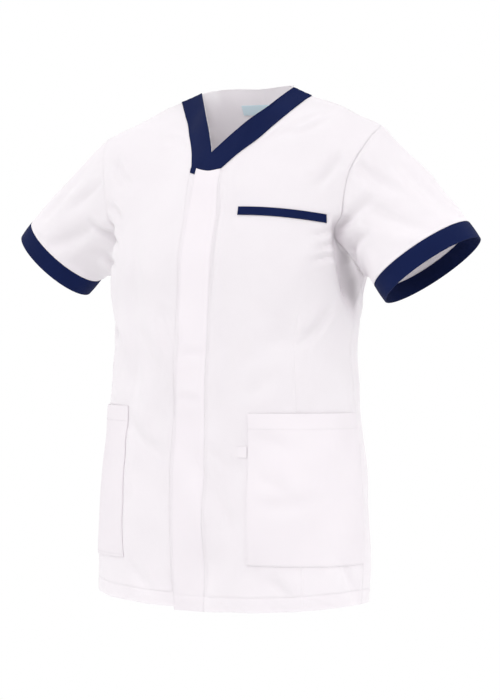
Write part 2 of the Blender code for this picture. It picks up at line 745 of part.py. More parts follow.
row_height = np.linalg.norm(left.at(FOOT_ROW, 0, 0) - left.at(FOOT_ROW - 1, 0, 0))
strip("placket", left, 0, FOOT_ROW - SEAM_GAP / row_height, WHITE_CLOTH)
strip("neck_band_left", left, FOOT_ROW, TOP_ROW, NAVY_CLOTH)
strip("neck_band_right", right, right.row_at(STRIP_COLUMNS - 1, RIGHT_BAND_FOOT_Z), TOP_ROW, NAVY_CLOTH)
pocket("pocket_left", left, POCKET_LEFT, WHITE_CLOTH)
pocket("pocket_right", right, POCKET_RIGHT, WHITE_CLOTH)
small_patch(
    "chest_welt", left, WELT_INNER_X, WELT_INNER_Z, WELT_OUTER_X, WELT_OUTER_Z, WELT_HEIGHT, SMALL_PIECE_LIFT, WALL,
    NAVY_CLOTH
)
small_patch(
    "pocket_tab", left, TAB_INNER_X, TAB_TOP_Z, TAB_OUTER_X, TAB_TOP_Z, TAB_HEIGHT, SEAM_GAP, TRIM_WALL, WHITE_CLOTH
)
LABEL_LIFT = -WALL - SMALL_PIECE_LIFT - TRIM_WALL
small_patch(
    "neck_label", back, -LABEL_WIDTH / 2, LABEL_TOP_Z, LABEL_WIDTH / 2, LABEL_TOP_Z, LABEL_HEIGHT, LABEL_LIFT,
    TRIM_WALL, LABEL_CLOTH
)
sleeve("sleeve_left", FRONT_LEFT, BACK_LEFT, CUFF_LEFT, WHITE_CLOTH)
sleeve("sleeve_right", FRONT_RIGHT, BACK_RIGHT, CUFF_RIGHT, WHITE_CLOTH)
cuff_band("cuff_left", CUFF_LEFT, NAVY_CLOTH)
cuff_band("cuff_right", CUFF_RIGHT, NAVY_CLOTH)
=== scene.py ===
"""The medical tunic's looks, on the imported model: fine cloth shells on the solids' own forms.

Metres, in the model's frame. Each shell repeats the part's surface from the same named values, with finer rows
and columns, creases, sewn seams and stitches.
"""

from collections import namedtuple
from math import pi, radians

import bpy
import numpy as np
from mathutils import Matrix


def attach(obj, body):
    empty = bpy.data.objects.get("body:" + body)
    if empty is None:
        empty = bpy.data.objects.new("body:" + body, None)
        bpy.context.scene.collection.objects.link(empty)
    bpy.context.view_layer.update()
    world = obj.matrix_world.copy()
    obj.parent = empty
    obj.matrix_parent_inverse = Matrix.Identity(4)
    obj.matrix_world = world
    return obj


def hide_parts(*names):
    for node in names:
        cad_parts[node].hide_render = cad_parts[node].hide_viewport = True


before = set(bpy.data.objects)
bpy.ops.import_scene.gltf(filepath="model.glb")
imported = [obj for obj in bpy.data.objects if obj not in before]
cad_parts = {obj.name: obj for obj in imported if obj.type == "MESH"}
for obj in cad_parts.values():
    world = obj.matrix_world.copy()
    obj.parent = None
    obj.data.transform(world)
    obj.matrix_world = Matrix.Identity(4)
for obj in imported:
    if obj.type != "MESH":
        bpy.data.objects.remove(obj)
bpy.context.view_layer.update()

# Cloth
WALL = 0.0012
SEAM_GAP = 0.0003
LAP_STEP = WALL + 2 * SEAM_GAP
SMALL_PIECE_LIFT = 0.0005

# Hem heights of each quarter of the body, at the centre and at the side seam
Hem = namedtuple("Hem", "centre_z side_z")
HEM_FRONT_LEFT = Hem(-0.7550, -0.7430)
HEM_FRONT_RIGHT = Hem(-0.7510, -0.7370)
HEM_BACK_LEFT = Hem(-0.7450, -0.7425)
HEM_BACK_RIGHT = Hem(-0.7450, -0.7370)

# Body sections, from the hem up to the underarm: where centre front, side seam and centre back lie
Section = namedtuple("Section", "z front_y side_y back_y half_width")
SECTIONS = (
    Section(-0.760, -0.1500, -0.040, 0.062, 0.2215),
    Section(-0.690, -0.1525, -0.030, 0.063, 0.2195),
    Section(-0.600, -0.1550, -0.026, 0.064, 0.2155),
    Section(-0.510, -0.1500, -0.022, 0.063, 0.2065),
    Section(-0.440, -0.1465, -0.023, 0.062, 0.1995),
    Section(-0.380, -0.1430, -0.025, 0.062, 0.1955),
    Section(-0.330, -0.1385, -0.018, 0.067, 0.2000),
    Section(-0.277, -0.1355, -0.008, 0.072, 0.2070),
)
FRONT_SQUARENESS = 2.6
BACK_SQUARENESS = 2.3

# Lines that bound the yoke, on the wearer's left, from the underarm up to the shoulder
Spot = namedtuple("Spot", "x y z")
UNDERARM = Spot(0.207, -0.008, -0.277)
NECK_POINT = Spot(0.082, 0.000, 0.000)
SHOULDER_TIP = Spot(0.243, -0.019, -0.062)
SHOULDER_SEAM = (NECK_POINT, Spot(0.160, -0.008, -0.0280), SHOULDER_TIP)
ARMHOLE_FRONT = (
    UNDERARM,
    Spot(0.2050, -0.034, -0.250),
    Spot(0.2030, -0.055, -0.220),
    Spot(0.2070, -0.066, -0.180),
    Spot(0.2170, -0.064, -0.130),
    Spot(0.2340, -0.042, -0.085),
    SHOULDER_TIP,
)
ARMHOLE_BACK = (
    UNDERARM,
    Spot(0.2090, 0.014, -0.250),
    Spot(0.2080, 0.032, -0.220),
    Spot(0.2120, 0.047, -0.180),
    Spot(0.2210, 0.045, -0.130),
    Spot(0.2360, 0.018, -0.085),
    SHOULDER_TIP,
)
CENTRE_FRONT = (
    Spot(0, -0.1355, -0.277),
    Spot(0, -0.1325, -0.245),
    Spot(0, -0.1237, -0.205),
    Spot(0, -0.1090, -0.155),
    Spot(0, -0.0945, -0.119),
    Spot(0, -0.0760, -0.085),
    Spot(0, -0.0500, -0.045),
)
CENTRE_BACK = (
    Spot(0, 0.072, -0.277),
    Spot(0, 0.078, -0.220),
    Spot(0, 0.079, -0.160),
    Spot(0, 0.072, -0.100),
    Spot(0, 0.060, -0.050),
    Spot(0, 0.040, 0.006),
)
NECK_FRONT = (CENTRE_FRONT[-1], Spot(0.045, -0.036, -0.032), NECK_POINT)
NECK_BACK = (CENTRE_BACK[-1], Spot(0.045, 0.031, 0.0075), Spot(0.072, 0.014, 0.005), NECK_POINT)
NECK_SHARE = 0.25
TOP_SOFTNESS = 0.20
YOKE_RISE_FRONT = (0.0, 0.036, 0.24)
YOKE_RISE_BACK = (0.0, 0.018, 0.24)
YOKE_TOP_FRONT = (0.0, 0.24, 0.080)
YOKE_TOP_BACK = (0.0, -0.20, 0.060)

# V neck: each neck edge is x = foot + rise * s + bow * s * s, with s from 0 at the foot of the V to 1 at the
# neck point, x measured towards that front's own side. The left front laps over the right one.
Edge = namedtuple("Edge", "lap foot rise bow")
V_FOOT_Z = -0.119
LEFT_EDGE = Edge(0.0250, -0.0250, 0.1085, -0.0015)
RIGHT_EDGE = Edge(0.0105, -0.0022, 0.0402, 0.0440)
BAND_WIDTH = 0.0350
RIGHT_BAND_FOOT_Z = -0.1245

# Under each arm the cloth is tucked in along a line, given on the wearer's left
TUCK_LINE = (
    Spot(0.206, -0.062, -0.205),
    Spot(0.204, -0.057, -0.236),
    Spot(0.203, -0.049, -0.264),
    Spot(0.203, -0.038, -0.284),
    Spot(0.202, -0.028, -0.306),
    Spot(0.199, -0.020, -0.332),
)
TUCK_WAY = (-0.86, 0.50, 0.0)
TUCK_DEPTH = 0.0330
TUCK_WIDTH = 0.0125
TUCK_END_REACH = 0.020
TUCK_TOP_FADE = 0.035
TUCK_FOOT_FADE = 0.040

# Closing strip: how far past the centre its outer edge lies, below the height where it has its full width
PLACKET_OUTER_X = 0.0280
PLACKET_FULL_Z = -0.200
PLACKET_SINK_FROM = 0.86
LAP_FADE_X = (0.062, 0.034)
BAND_LAP_Z = (-0.170, -0.140)

# Hip pockets, breast welt and small labels
Pocket = namedtuple("Pocket", "inner_x top_z foot_z")
POCKET_LEFT = Pocket(0.0970, -0.4710, -0.686)
POCKET_RIGHT = Pocket(0.1215, -0.4640, -0.685)
POCKET_SIDE_SHARE = 0.25
WELT_INNER_X = 0.0588
WELT_INNER_Z = -0.1768
WELT_OUTER_X = 0.1855
WELT_OUTER_Z = -0.1900
WELT_HEIGHT = 0.0122
LABEL_WIDTH = 0.076
LABEL_TOP_Z = -0.0165
LABEL_HEIGHT = 0.0145
TAB_INNER_X = 0.0815
TAB_OUTER_X = 0.0962
TAB_TOP_Z = -0.518
TAB_HEIGHT = 0.016
TRIM_WALL = 0.0010

# Sleeves: the rim of each opening, and how much fuller the band's back is above the rim
Cuff = namedtuple("Cuff", "centre axis outward long_radius short_radius back_fullness top_start")
CUFF_WIDTH = 0.028
CUFF_LEFT = Cuff(
    (0.3262, -0.0180, -0.2692), (0.590, 0.072, -0.813), (0.702, 0.463, 0.543), 0.0800, 0.063, 0.016,
    (0.70, 0.0, -0.71)
)
CUFF_RIGHT = Cuff(
    (-0.3646, 0.0076, -0.2510), (-0.702, -0.044, -0.784), (-0.808, -0.076, 0.587), 0.0720, 0.054, 0.010,
    (0.80, 0.0, -0.60)
)
SLEEVE_UNDER_START = (1.0, 0.0, 0.10)
SLEEVE_START_REACH = 0.45
SLEEVE_END_REACH = 0.70

# Grid sizes
LOWER_ROWS = 100
CHEST_ROWS = 46
NECK_ROWS = 50
STRIP_COLUMNS = 22
FRONT_COLUMNS = 120
BACK_COLUMNS = 76
SLEEVE_RINGS = 66
CUFF_RINGS = 12

# Sewing: seams, hem and darts. Each height or girth only scales the distances beside a seam.
QUARTER_GIRTH = 0.290
LOWER_HEIGHT = 0.475
YOKE_HEIGHT = 0.300
HEM_DEPTH = 0.021
HEM_PULL = 0.0005
DART_P = 0.530
DART_TOP_T = 0.90
DART_FADE = 0.03
HEM_PULL_WIDTH = 0.0016
RIPPLE_HEIGHT = 0.0036
RIPPLE_COUNT = 8
RIPPLE_LENGTHS = (0.05, 0.14)
RIPPLE_BEND = 1.4
RIPPLE_BEND_LENGTH = 0.19
RIPPLE_SEED = 40
SEAM_GROOVE = 0.0005
DART_GROOVE = 0.0004
SLEEVE_GROOVE = 0.0002
GROOVE_WIDTH = 0.0020
ARMHOLE_SHARE = 0.15
PUCKER_PITCH = 0.0125
PUCKER_REACH = 0.006
PUCKER_SHARE = 0.28
ROPING_PITCH = 0.017
ROPING_SLANT = 1.4
ROPING_HEIGHT = 0.00035
SLEEVE_SWELL = 0.0004
SLEEVE_SWELL_AT = 0.008
WELT_BOW = 0.0030
BAND_FULLNESS = 0.0005
POCKET_FULLNESS = 0.0012
POCKET_MOUTH = 0.0016
EDGE_ROUNDING = 0.0002
SHARP_ANGLE = 38
SLEEVE_LAP = 0.0004
SLEEVE_GIRTH = 0.46
SLEEVE_LENGTH = 0.20

# Stitches
STITCH_PITCH = 0.0030
STITCH_SHARE = 0.75
STITCH_WIDTH = 0.0006
STITCH_HEIGHT = 0.0003
STITCH_INSET = 0.0015
STITCH_WAIST = 0.55
POCKET_HEM_DEPTH = 0.022


def hermite(start, start_slope, end, end_slope, t):
    """Points at t, from 0 to 1, on the cubic with these ends and slopes."""
    return (
        (2 * t**3 - 3 * t**2 + 1) * start
        + (t**3 - 2 * t**2 + t) * start_slope
        + (3 * t**2 - 2 * t**3) * end
        + (t**3 - t**2) * end_slope
    )


def through(rows, knots, at):
    """The rows' smooth curve over the knots, read at each place in at."""
    rows = np.array(rows, float)
    slopes = np.gradient(rows, knots, axis=0)
    at = np.clip(at, knots[0], knots[-1])
    cell = np.clip(np.searchsorted(knots, at) - 1, 0, len(knots) - 2)
    width = (knots[cell + 1] - knots[cell])[..., None]
    t = (at[..., None] - knots[cell][..., None]) / width
    return hermite(rows[cell], slopes[cell] * width, rows[cell + 1], slopes[cell + 1] * width, t)


def lengths_along(line):
    """The length along a line of points, up to each of them."""
    return np.concatenate([[0.0], np.cumsum(np.linalg.norm(np.diff(line, axis=0), axis=-1))])


def length_share(line):
    length = lengths_along(line)
    return length / length[-1]


def curve(spots):
    """A smooth curve through the spots, as a function of the share of its length."""
    spots = np.array(spots, float)
    steps = np.sqrt(np.linalg.norm(np.diff(spots, axis=0), axis=1))
    knots = np.concatenate([[0.0], np.cumsum(steps)])
    dense = through(spots, knots, np.linspace(0, knots[-1], 400))
    share = length_share(dense)

    def at(t):
        return np.stack([np.interp(t, share, dense[:, k]) for k in range(3)], axis=-1)

    return at


def mirrored_curve(spots):
    """A smooth curve through the spots, level where it crosses from its mirror image at the centre."""
    whole = curve([(-spot.x, spot.y, spot.z) for spot in spots[:0:-1]] + list(spots))
    return lambda t: whole(0.5 + t / 2)


def ramp(low, high, value):
    """0 below low, 1 above high, smooth between."""
    t = np.clip((value - low) / (high - low), 0, 1)
    return t * t * (3 - 2 * t)


class Half:
    """One quarter of the body's surface: a front, or half of the back, on the wearer's left (side 1) or right.

    A place on it is p, from 0 at the centre to 1 at the side seam or armhole, and t, from 0 at the hem through
    1 at the underarm to 2 at the shoulder seam. A negative p lies past the centre, on the other side.
    """

    def __init__(self, is_front, side, hem):
        self.is_front = is_front
        self.side = side
        self.mirror = np.array([side, 1, 1])
        self.squareness = FRONT_SQUARENESS if is_front else BACK_SQUARENESS
        self.hem = hem
        self.armhole = curve(ARMHOLE_FRONT if is_front else ARMHOLE_BACK)
        self.centre = curve(CENTRE_FRONT if is_front else CENTRE_BACK)
        self.neck = mirrored_curve(NECK_FRONT if is_front else NECK_BACK)
        self.seam = curve(SHOULDER_SEAM)
        self.rise = np.array(YOKE_RISE_FRONT if is_front else YOKE_RISE_BACK)
        self.top_slope = np.array(YOKE_TOP_FRONT if is_front else YOKE_TOP_BACK)
        self.folds = FRONT_FOLDS if is_front else BACK_FOLDS
        self.creases = FRONT_CREASES if is_front else BACK_CREASES

    def lower(self, p, t):
        """Below the underarm: a quarter of a squared ellipse at each height."""
        angle = p * pi / 2
        hem = self.hem.side_z + (self.hem.centre_z - self.hem.side_z) * np.cos(angle) ** 2
        z = UNDERARM.z + (1 - t) * (hem - UNDERARM.z)
        knots = np.array([row.z for row in SECTIONS])
        section = through(SECTIONS, knots, z)
        middle = section[..., 1] if self.is_front else section[..., 3]
        side = section[..., 2]
        power = 2 / self.squareness
        x = section[..., 4] * np.sin(angle) ** power
        y = side + (middle - side) * np.clip(np.cos(angle), 0, 1) ** power
        return np.stack([x, y, z], axis=-1)

    def top(self, p):
        """The shoulder seam, and the neck line between its inner end and the centre."""
        on_neck = self.neck(np.clip(p / NECK_SHARE, 0, 1))
        on_seam = self.seam(np.clip((p - NECK_SHARE) / (1 - NECK_SHARE), 0, 1))
        return np.where((p < NECK_SHARE)[..., None], on_neck, on_seam)

    def soft_top(self, p, s):
        """The top line, its corner at the neck rounded off more and more below the shoulder."""
        spread = TOP_SOFTNESS * (1 - s)
        return sum(self.top(np.clip(p + share * spread, 0, 1)) for share in (-1, -0.5, 0, 0.5, 1)) / 5

    def yoke(self, p, s):
        """Above the underarm: smooth columns up to the shoulder, drawn to the centre line and the armhole."""
        across = p[..., None]
        up = s[..., None]

        def column(at):
            foot = self.lower(at, np.ones_like(at))
            return hermite(foot, self.rise, self.soft_top(at, s), self.top_slope, up)

        to_centre = self.centre(s) - column(np.zeros_like(p))
        to_armhole = self.armhole(s) - column(np.ones_like(p))
        return column(p) + (1 - across) ** 2 * (1 + 2 * across) * to_centre + across**5 * to_armhole

    def smooth_point(self, p, t):
        """The surface without folds, on the wearer's left."""
        past_centre = np.where(p < 0, -1.0, 1.0)
        p, t = np.broadcast_arrays(np.abs(p), t)
        below = self.lower(p, np.clip(t, 0, 1))
        above = self.yoke(p, np.clip(t - 1, 0, 1))
        point = np.where((t < 1)[..., None], below, above)
        point[..., 0] *= past_centre
        return point

    def smooth_normal(self, p, t):
        """Unit vectors out of the cloth, the same for front and back along the shoulder seam."""
        step = 0.004
        past_centre = np.where(p < 0, -1.0, 1.0)
        p, t = np.broadcast_arrays(np.clip(np.abs(p), step, 1 - step), t)
        across = self.smooth_point(p + step, t) - self.smooth_point(p - step, t)
        up = self.smooth_point(p, np.clip(t + step, 0, 2)) - self.smooth_point(p, np.clip(t - step, 0, 2))
        out = unit(np.cross(across, up) * (1 if self.is_front else -1))
        level = unit(np.cross(across, [0.0, 1.0, 0.0]))
        share = ramp(1.86, 1.99, t)[..., None] * (p > NECK_SHARE * 0.7)[..., None]
        out = unit(out * (1 - share) + level * share)
        out[..., 0] *= past_centre
        return out

    def cloth(self, p, t, lift, has_darts=True):
        """Points this far out of the cloth's own surface, with its folds, creases and seams."""
        point = self.smooth_point(p, t) * self.mirror
        normal = self.smooth_normal(p, t) * self.mirror
        depth = fold_depth(point, self.folds) * ramp(1.0, 0.90, np.abs(p))
        depth += crease_depth(point, normal, self.creases) * ramp(1.0, 0.97, np.abs(p))
        depth -= ripple(point, self.side) * ramp(1.0, 0.95, np.abs(p))
        depth += self.seam_depth(p, t, point, has_darts)
        tucked = np.array(TUCK_WAY) * self.mirror * tuck_depth(point * self.mirror)[..., None]
        return point + normal * (lift - depth)[..., None] + tucked

    def seam_depth(self, p, t, point, has_darts):
        """Sewn seams draw the cloth in along their line, and pucker it a little beside them."""
        along = t * LOWER_HEIGHT
        from_edge = (1 - np.abs(p)) * QUARTER_GIRTH
        share = ARMHOLE_SHARE + (1 - ARMHOLE_SHARE) * ramp(1.04, 0.98, t)
        depth = seam_groove(from_edge, along, SEAM_GROOVE) * share
        depth += seam_groove((2 - t) * YOKE_HEIGHT, point[..., 0], SEAM_GROOVE)
        depth += HEM_PULL * np.exp(-(((along - HEM_DEPTH) / HEM_PULL_WIDTH) ** 2))
        slant = 2 * pi * (point[..., 0] + ROPING_SLANT * along) / ROPING_PITCH
        roping = np.sin(slant + 1.1 * np.sin(point[..., 0] / 0.021))
        depth += ROPING_HEIGHT * roping * ramp(HEM_DEPTH, HEM_DEPTH * 0.7, along) * ramp(0.0, 0.006, along)
        if self.is_front and has_darts:
            from_dart = (p - DART_P) * QUARTER_GIRTH
            fade = ramp(DART_TOP_T + DART_FADE, DART_TOP_T - DART_FADE, t)
            depth += seam_groove(from_dart, along, DART_GROOVE) * fade
        return depth


def unit(vectors):
    return vectors / np.linalg.norm(vectors, axis=-1, keepdims=True)


# Folds, in the front view: a soft trough (or ridge, where deep is negative) from one place to another
Fold = namedtuple("Fold", "x0 z0 x1 z1 width deep")
FRONT_FOLDS = (
    Fold(0.198, -0.300, 0.140, -0.365, 0.026, 0.0060),
    Fold(0.140, -0.365, 0.100, -0.390, 0.022, 0.0035),
    Fold(0.180, -0.235, 0.120, -0.300, 0.022, -0.0030),
    Fold(0.060, -0.560, -0.030, -0.470, 0.030, 0.0030),
    Fold(-0.150, -0.560, -0.110, -0.430, 0.030, 0.0030),
    Fold(-0.190, -0.360, -0.120, -0.420, 0.026, 0.0035),
    Fold(0.110, -0.700, 0.150, -0.760, 0.022, 0.0045),
    Fold(0.040, -0.690, 0.065, -0.760, 0.024, 0.0040),
    Fold(-0.100, -0.700, -0.115, -0.760, 0.024, 0.0040),
)
BACK_FOLDS = (
    Fold(0.195, -0.300, 0.120, -0.370, 0.028, 0.0060),
    Fold(-0.195, -0.305, -0.110, -0.385, 0.028, 0.0060),
    Fold(0.060, -0.330, 0.020, -0.480, 0.035, 0.0040),
    Fold(-0.050, -0.340, -0.070, -0.520, 0.035, 0.0040),
    Fold(0.120, -0.640, 0.135, -0.760, 0.028, 0.0045),
    Fold(-0.020, -0.660, -0.010, -0.760, 0.030, 0.0045),
    Fold(-0.150, -0.650, -0.140, -0.760, 0.028, 0.0040),
)

# Creases, in the front view: a soft trough with low ridges beside it, along a line that bows to one side.
# Each ridge is its height, place and breadth beside a trough that is 1 deep and 1 wide.
Crease = namedtuple("Crease", "x0 z0 x1 z1 bow width deep")
CREASE_GAIN = 1.6
CREASE_RIDGES = ((0.45, 1.9, 1.2), (0.30, -2.0, 1.3))
CREASE_START_FADE = (-0.15, 0.30)
CREASE_END_FADE = (1.15, 0.60)
LEAST_FACING = 0.2
FRONT_CREASES = (
    Crease(0.192, -0.318, 0.156, -0.378, 0.004, 0.0085, 0.0040),
    Crease(0.198, -0.209, 0.168, -0.219, 0.002, 0.0050, 0.0022),
    Crease(0.200, -0.226, 0.172, -0.240, 0.002, 0.0050, 0.0020),
    Crease(0.201, -0.247, 0.170, -0.258, -0.002, 0.0060, 0.0022),
    Crease(0.200, -0.104, 0.164, -0.152, 0.004, 0.0090, 0.0026),
    Crease(0.069, -0.080, 0.120, -0.066, 0.003, 0.0060, 0.0014),
    Crease(0.115, -0.069, 0.170, -0.050, -0.002, 0.0060, 0.0013),
    Crease(0.104, -0.060, 0.158, -0.040, 0.002, 0.0050, 0.0009),
    Crease(0.031, -0.150, 0.032, -0.320, 0.001, 0.0050, 0.0012),
    Crease(-0.020, -0.390, 0.026, -0.387, 0.001, 0.0060, 0.0012),
    Crease(-0.022, -0.452, 0.024, -0.456, 0.001, 0.0060, 0.0011),
    Crease(-0.012, -0.515, 0.082, -0.655, 0.006, 0.0160, 0.0026),
    Crease(0.030, -0.520, 0.066, -0.560, 0.003, 0.0110, 0.0015),
    Crease(-0.122, -0.480, -0.034, -0.542, -0.005, 0.0120, 0.0022),
    Crease(-0.064, -0.318, -0.026, -0.388, 0.004, 0.0120, 0.0022),
    Crease(-0.108, -0.345, -0.060, -0.430, 0.004, 0.0140, 0.0016),
    Crease(-0.128, -0.210, -0.108, -0.475, 0.006, 0.0160, 0.0018),
    Crease(-0.116, -0.520, -0.160, -0.560, 0.003, 0.0120, 0.0007),
    Crease(-0.110, -0.585, -0.168, -0.640, 0.004, 0.0120, 0.0008),
    Crease(-0.128, -0.640, -0.180, -0.668, 0.003, 0.0110, 0.0006),
    Crease(0.099, -0.506, 0.160, -0.524, 0.003, 0.0100, 0.0015),
    Crease(0.109, -0.563, 0.162, -0.588, 0.003, 0.0100, 0.0015),
    Crease(0.117, -0.600, 0.196, -0.592, -0.004, 0.0110, 0.0018),
    Crease(0.128, -0.706, 0.160, -0.734, 0.002, 0.0090, 0.0016),
    Crease(0.211, -0.676, 0.221, -0.745, 0.002, 0.0080, 0.0020),
    Crease(-0.114, -0.700, -0.068, -0.736, 0.003, 0.0100, 0.0018),
    Crease(-0.036, -0.706, -0.028, -0.755, 0.002, 0.0100, 0.0014),
    Crease(-0.206, -0.262, -0.182, -0.330, -0.003, 0.0075, 0.0042),
    Crease(-0.196, -0.318, -0.150, -0.372, -0.004, 0.0085, 0.0034),
    Crease(-0.204, -0.165, -0.170, -0.190, 0.002, 0.0065, 0.0022),
    Crease(-0.205, -0.214, -0.168, -0.232, 0.002, 0.0060, 0.0022),
    Crease(-0.206, -0.246, -0.172, -0.262, 0.002, 0.0060, 0.0020),
    Crease(-0.200, -0.100, -0.160, -0.140, -0.004, 0.0090, 0.0022),
    Crease(-0.062, -0.085, -0.120, -0.066, -0.003, 0.0065, 0.0013),
    Crease(0.060, -0.330, 0.076, -0.440, 0.004, 0.0160, 0.0020),
    Crease(0.132, -0.410, 0.086, -0.448, 0.003, 0.0120, 0.0014),
)
BACK_CREASES = (
    Crease(0.202, -0.270, 0.168, -0.345, 0.003, 0.0080, 0.0042),
    Crease(0.190, -0.300, 0.120, -0.352, 0.004, 0.0100, 0.0030),
    Crease(-0.202, -0.268, -0.172, -0.350, -0.003, 0.0080, 0.0042),
    Crease(-0.188, -0.298, -0.116, -0.346, -0.004, 0.0100, 0.0032),
    Crease(0.200, -0.235, 0.150, -0.255, 0.003, 0.0080, 0.0024),
    Crease(-0.200, -0.228, -0.146, -0.250, -0.003, 0.0080, 0.0024),
    Crease(0.200, -0.130, 0.150, -0.180, 0.004, 0.0100, 0.0024),
    Crease(-0.200, -0.126, -0.152, -0.176, -0.004, 0.0100, 0.0024),
    Crease(0.070, -0.330, 0.034, -0.480, 0.010, 0.0150, 0.0028),
    Crease(-0.060, -0.350, -0.078, -0.520, -0.008, 0.0160, 0.0028),
    Crease(0.010, -0.120, 0.004, -0.300, 0.004, 0.0200, 0.0016),
    Crease(0.098, -0.400, 0.128, -0.540, 0.006, 0.0160, 0.0022),
    Crease(-0.130, -0.420, -0.112, -0.560, 0.006, 0.0160, 0.0022),
    Crease(0.000, -0.420, 0.020, -0.640, -0.006, 0.0180, 0.0022),
    Crease(0.120, -0.630, 0.136, -0.745, 0.003, 0.0120, 0.0022),
    Crease(-0.022, -0.650, -0.012, -0.745, 0.003, 0.0130, 0.0022),
    Crease(-0.150, -0.640, -0.142, -0.745, -0.003, 0.0120, 0.0020),
    Crease(0.060, -0.690, 0.066, -0.745, 0.002, 0.0100, 0.0014),
    Crease(-0.080, -0.062, -0.140, -0.050, -0.003, 0.0080, 0.0012),
    Crease(0.080, -0.060, 0.142, -0.048, 0.003, 0.0080, 0.0012),
)

# The same on a sleeve, with x0 and x1 round it from the underside up its front, and z0 and z1 from the armhole
# to the cuff, all as shares. Both sleeves use the table, the right one with its own shift.
SLEEVE_CREASES = (
    Crease(0.06, 0.05, 0.16, 0.55, 0.010, 0.0080, 0.0042),
    Crease(0.13, 0.02, 0.24, 0.42, 0.008, 0.0080, 0.0034),
    Crease(0.20, 0.30, 0.30, 0.98, 0.006, 0.0110, 0.0028),
    Crease(0.30, 0.04, 0.33, 0.60, 0.006, 0.0110, 0.0022),
    Crease(0.42, 0.30, 0.40, 0.98, 0.006, 0.0130, 0.0018),
    Crease(0.58, 0.20, 0.62, 0.95, 0.006, 0.0130, 0.0022),
    Crease(0.72, 0.03, 0.70, 0.62, 0.006, 0.0110, 0.0026),
    Crease(0.80, 0.30, 0.78, 0.98, 0.008, 0.0110, 0.0028),
    Crease(0.90, 0.03, 0.84, 0.55, 0.008, 0.0090, 0.0038),
    Crease(0.97, 0.15, 0.94, 0.90, 0.006, 0.0100, 0.0030),
)


def fold_depth(points, folds):
    """How far the cloth lies inside its smooth surface, from the folds near each point."""
    depth = np.zeros(points.shape[:-1])
    for fold in folds:
        start = np.array([fold.x0, fold.z0])
        along = np.array([fold.x1, fold.z1]) - start
        away = points[..., [0, 2]] - start
        share = away @ along / (along @ along)
        nearest = away - np.clip(share, 0, 1)[..., None] * along
        depth += fold.deep * np.exp(-(nearest**2).sum(axis=-1) / fold.width**2)
    return depth


def tuck_depth(points):
    """How deep the cloth is tucked in under the arm, by the distance from the tuck's line."""
    line = np.array(TUCK_LINE)
    along = ramp(line[0, 2] + TUCK_TOP_FADE, line[0, 2] - TUCK_END_REACH, points[..., 2])
    along = along * ramp(line[-1, 2] - TUCK_END_REACH, line[-1, 2] + TUCK_FOOT_FADE, points[..., 2])
    return TUCK_DEPTH * along * np.exp(-((distance_to_line(points, line) / TUCK_WIDTH) ** 2))


def crease_depth(points, normals, creases):
    """How far the creases press the cloth in at each point, measured along the cloth where it turns away."""
    depth = np.zeros(points.shape[:-1])
    turned = np.hypot(normals[..., 0], normals[..., 1]) / np.maximum(np.abs(normals[..., 1]), LEAST_FACING)
    for crease in creases:
        start = np.array([crease.x0, crease.z0])
        along = np.array([crease.x1, crease.z1]) - start
        length = np.linalg.norm(along)
        way = along / length
        away = points[..., [0, 2]] - start
        share = away @ way / length
        across = away @ np.array([-way[1], way[0]]) - crease.bow * 4 * share * (1 - share)
        across = across * (1 + (turned - 1) * abs(way[1])) / crease.width
        trough = np.exp(-across**2)
        ridges = sum(high * np.exp(-((across - at) / wide) ** 2) for high, at, wide in CREASE_RIDGES)
        fade = ramp(*CREASE_START_FADE, share) * ramp(*CREASE_END_FADE, share)
        depth += CREASE_GAIN * crease.deep * (trough - ridges) * fade
    return depth


def ripple(points, seed):
    """Low, uneven swells of cloth that hangs freely."""
    chance = np.random.RandomState(RIPPLE_SEED + seed)
    height = np.zeros(points.shape[:-1])
    for _ in range(RIPPLE_COUNT):
        way = unit(chance.normal(size=3) * (1, 1, 0.5))
        sideways = unit(chance.normal(size=3))
        length = chance.uniform(*RIPPLE_LENGTHS)
        phase = chance.uniform(0, 2 * pi)
        bend = RIPPLE_BEND * np.sin(points @ sideways * 2 * pi / RIPPLE_BEND_LENGTH + phase)
        height += np.sin(points @ way * 2 * pi / length + phase + bend)
    return height * RIPPLE_HEIGHT / RIPPLE_COUNT


def seam_groove(distance, along, deep):
    """A seam's groove, with small uneven puckers beside it."""
    puckers = np.sin(2 * pi * along / PUCKER_PITCH + 1.7 * np.sin(along / 0.017))
    puckers = puckers * np.exp(-np.abs(distance) / PUCKER_REACH)
    return deep * (np.exp(-((distance / GROOVE_WIDTH) ** 2)) + PUCKER_SHARE * puckers)


FRONT_LEFT = Half(True, 1, HEM_FRONT_LEFT)
FRONT_RIGHT = Half(True, -1, HEM_FRONT_RIGHT)
BACK_LEFT = Half(False, 1, HEM_BACK_LEFT)
BACK_RIGHT = Half(False, -1, HEM_BACK_RIGHT)


def edge_x(z, edge):
    """A front's inner edge at this height: its lap line, or the neck edge above."""
    s = (z - V_FOOT_Z) / -V_FOOT_Z
    lowest = -edge.rise / (2 * edge.bow) if edge.bow > 0 else 0.0
    s = np.clip(s, lowest, 1)
    return np.maximum(edge.foot + edge.rise * s + edge.bow * s**2, -edge.lap)


def last_p(half, t, is_inside, first_p=-0.4):
    """The p in each row t up to which the half's points are inside, by halving."""
    low, high = np.full(t.shape, first_p), np.full(t.shape, 0.9)
    for _ in range(40):
        p = (low + high) / 2
        inside = is_inside(half.smooth_point(p, t))
        low, high = np.where(inside, p, low), np.where(inside, high, p)
    return p


def inner_p(half, edge, t):
    """The p of a front's inner edge in each row t."""
    p = last_p(half, t, lambda point: point[..., 0] < edge_x(point[..., 2], edge))
    return np.where(t >= 2, NECK_SHARE, p)


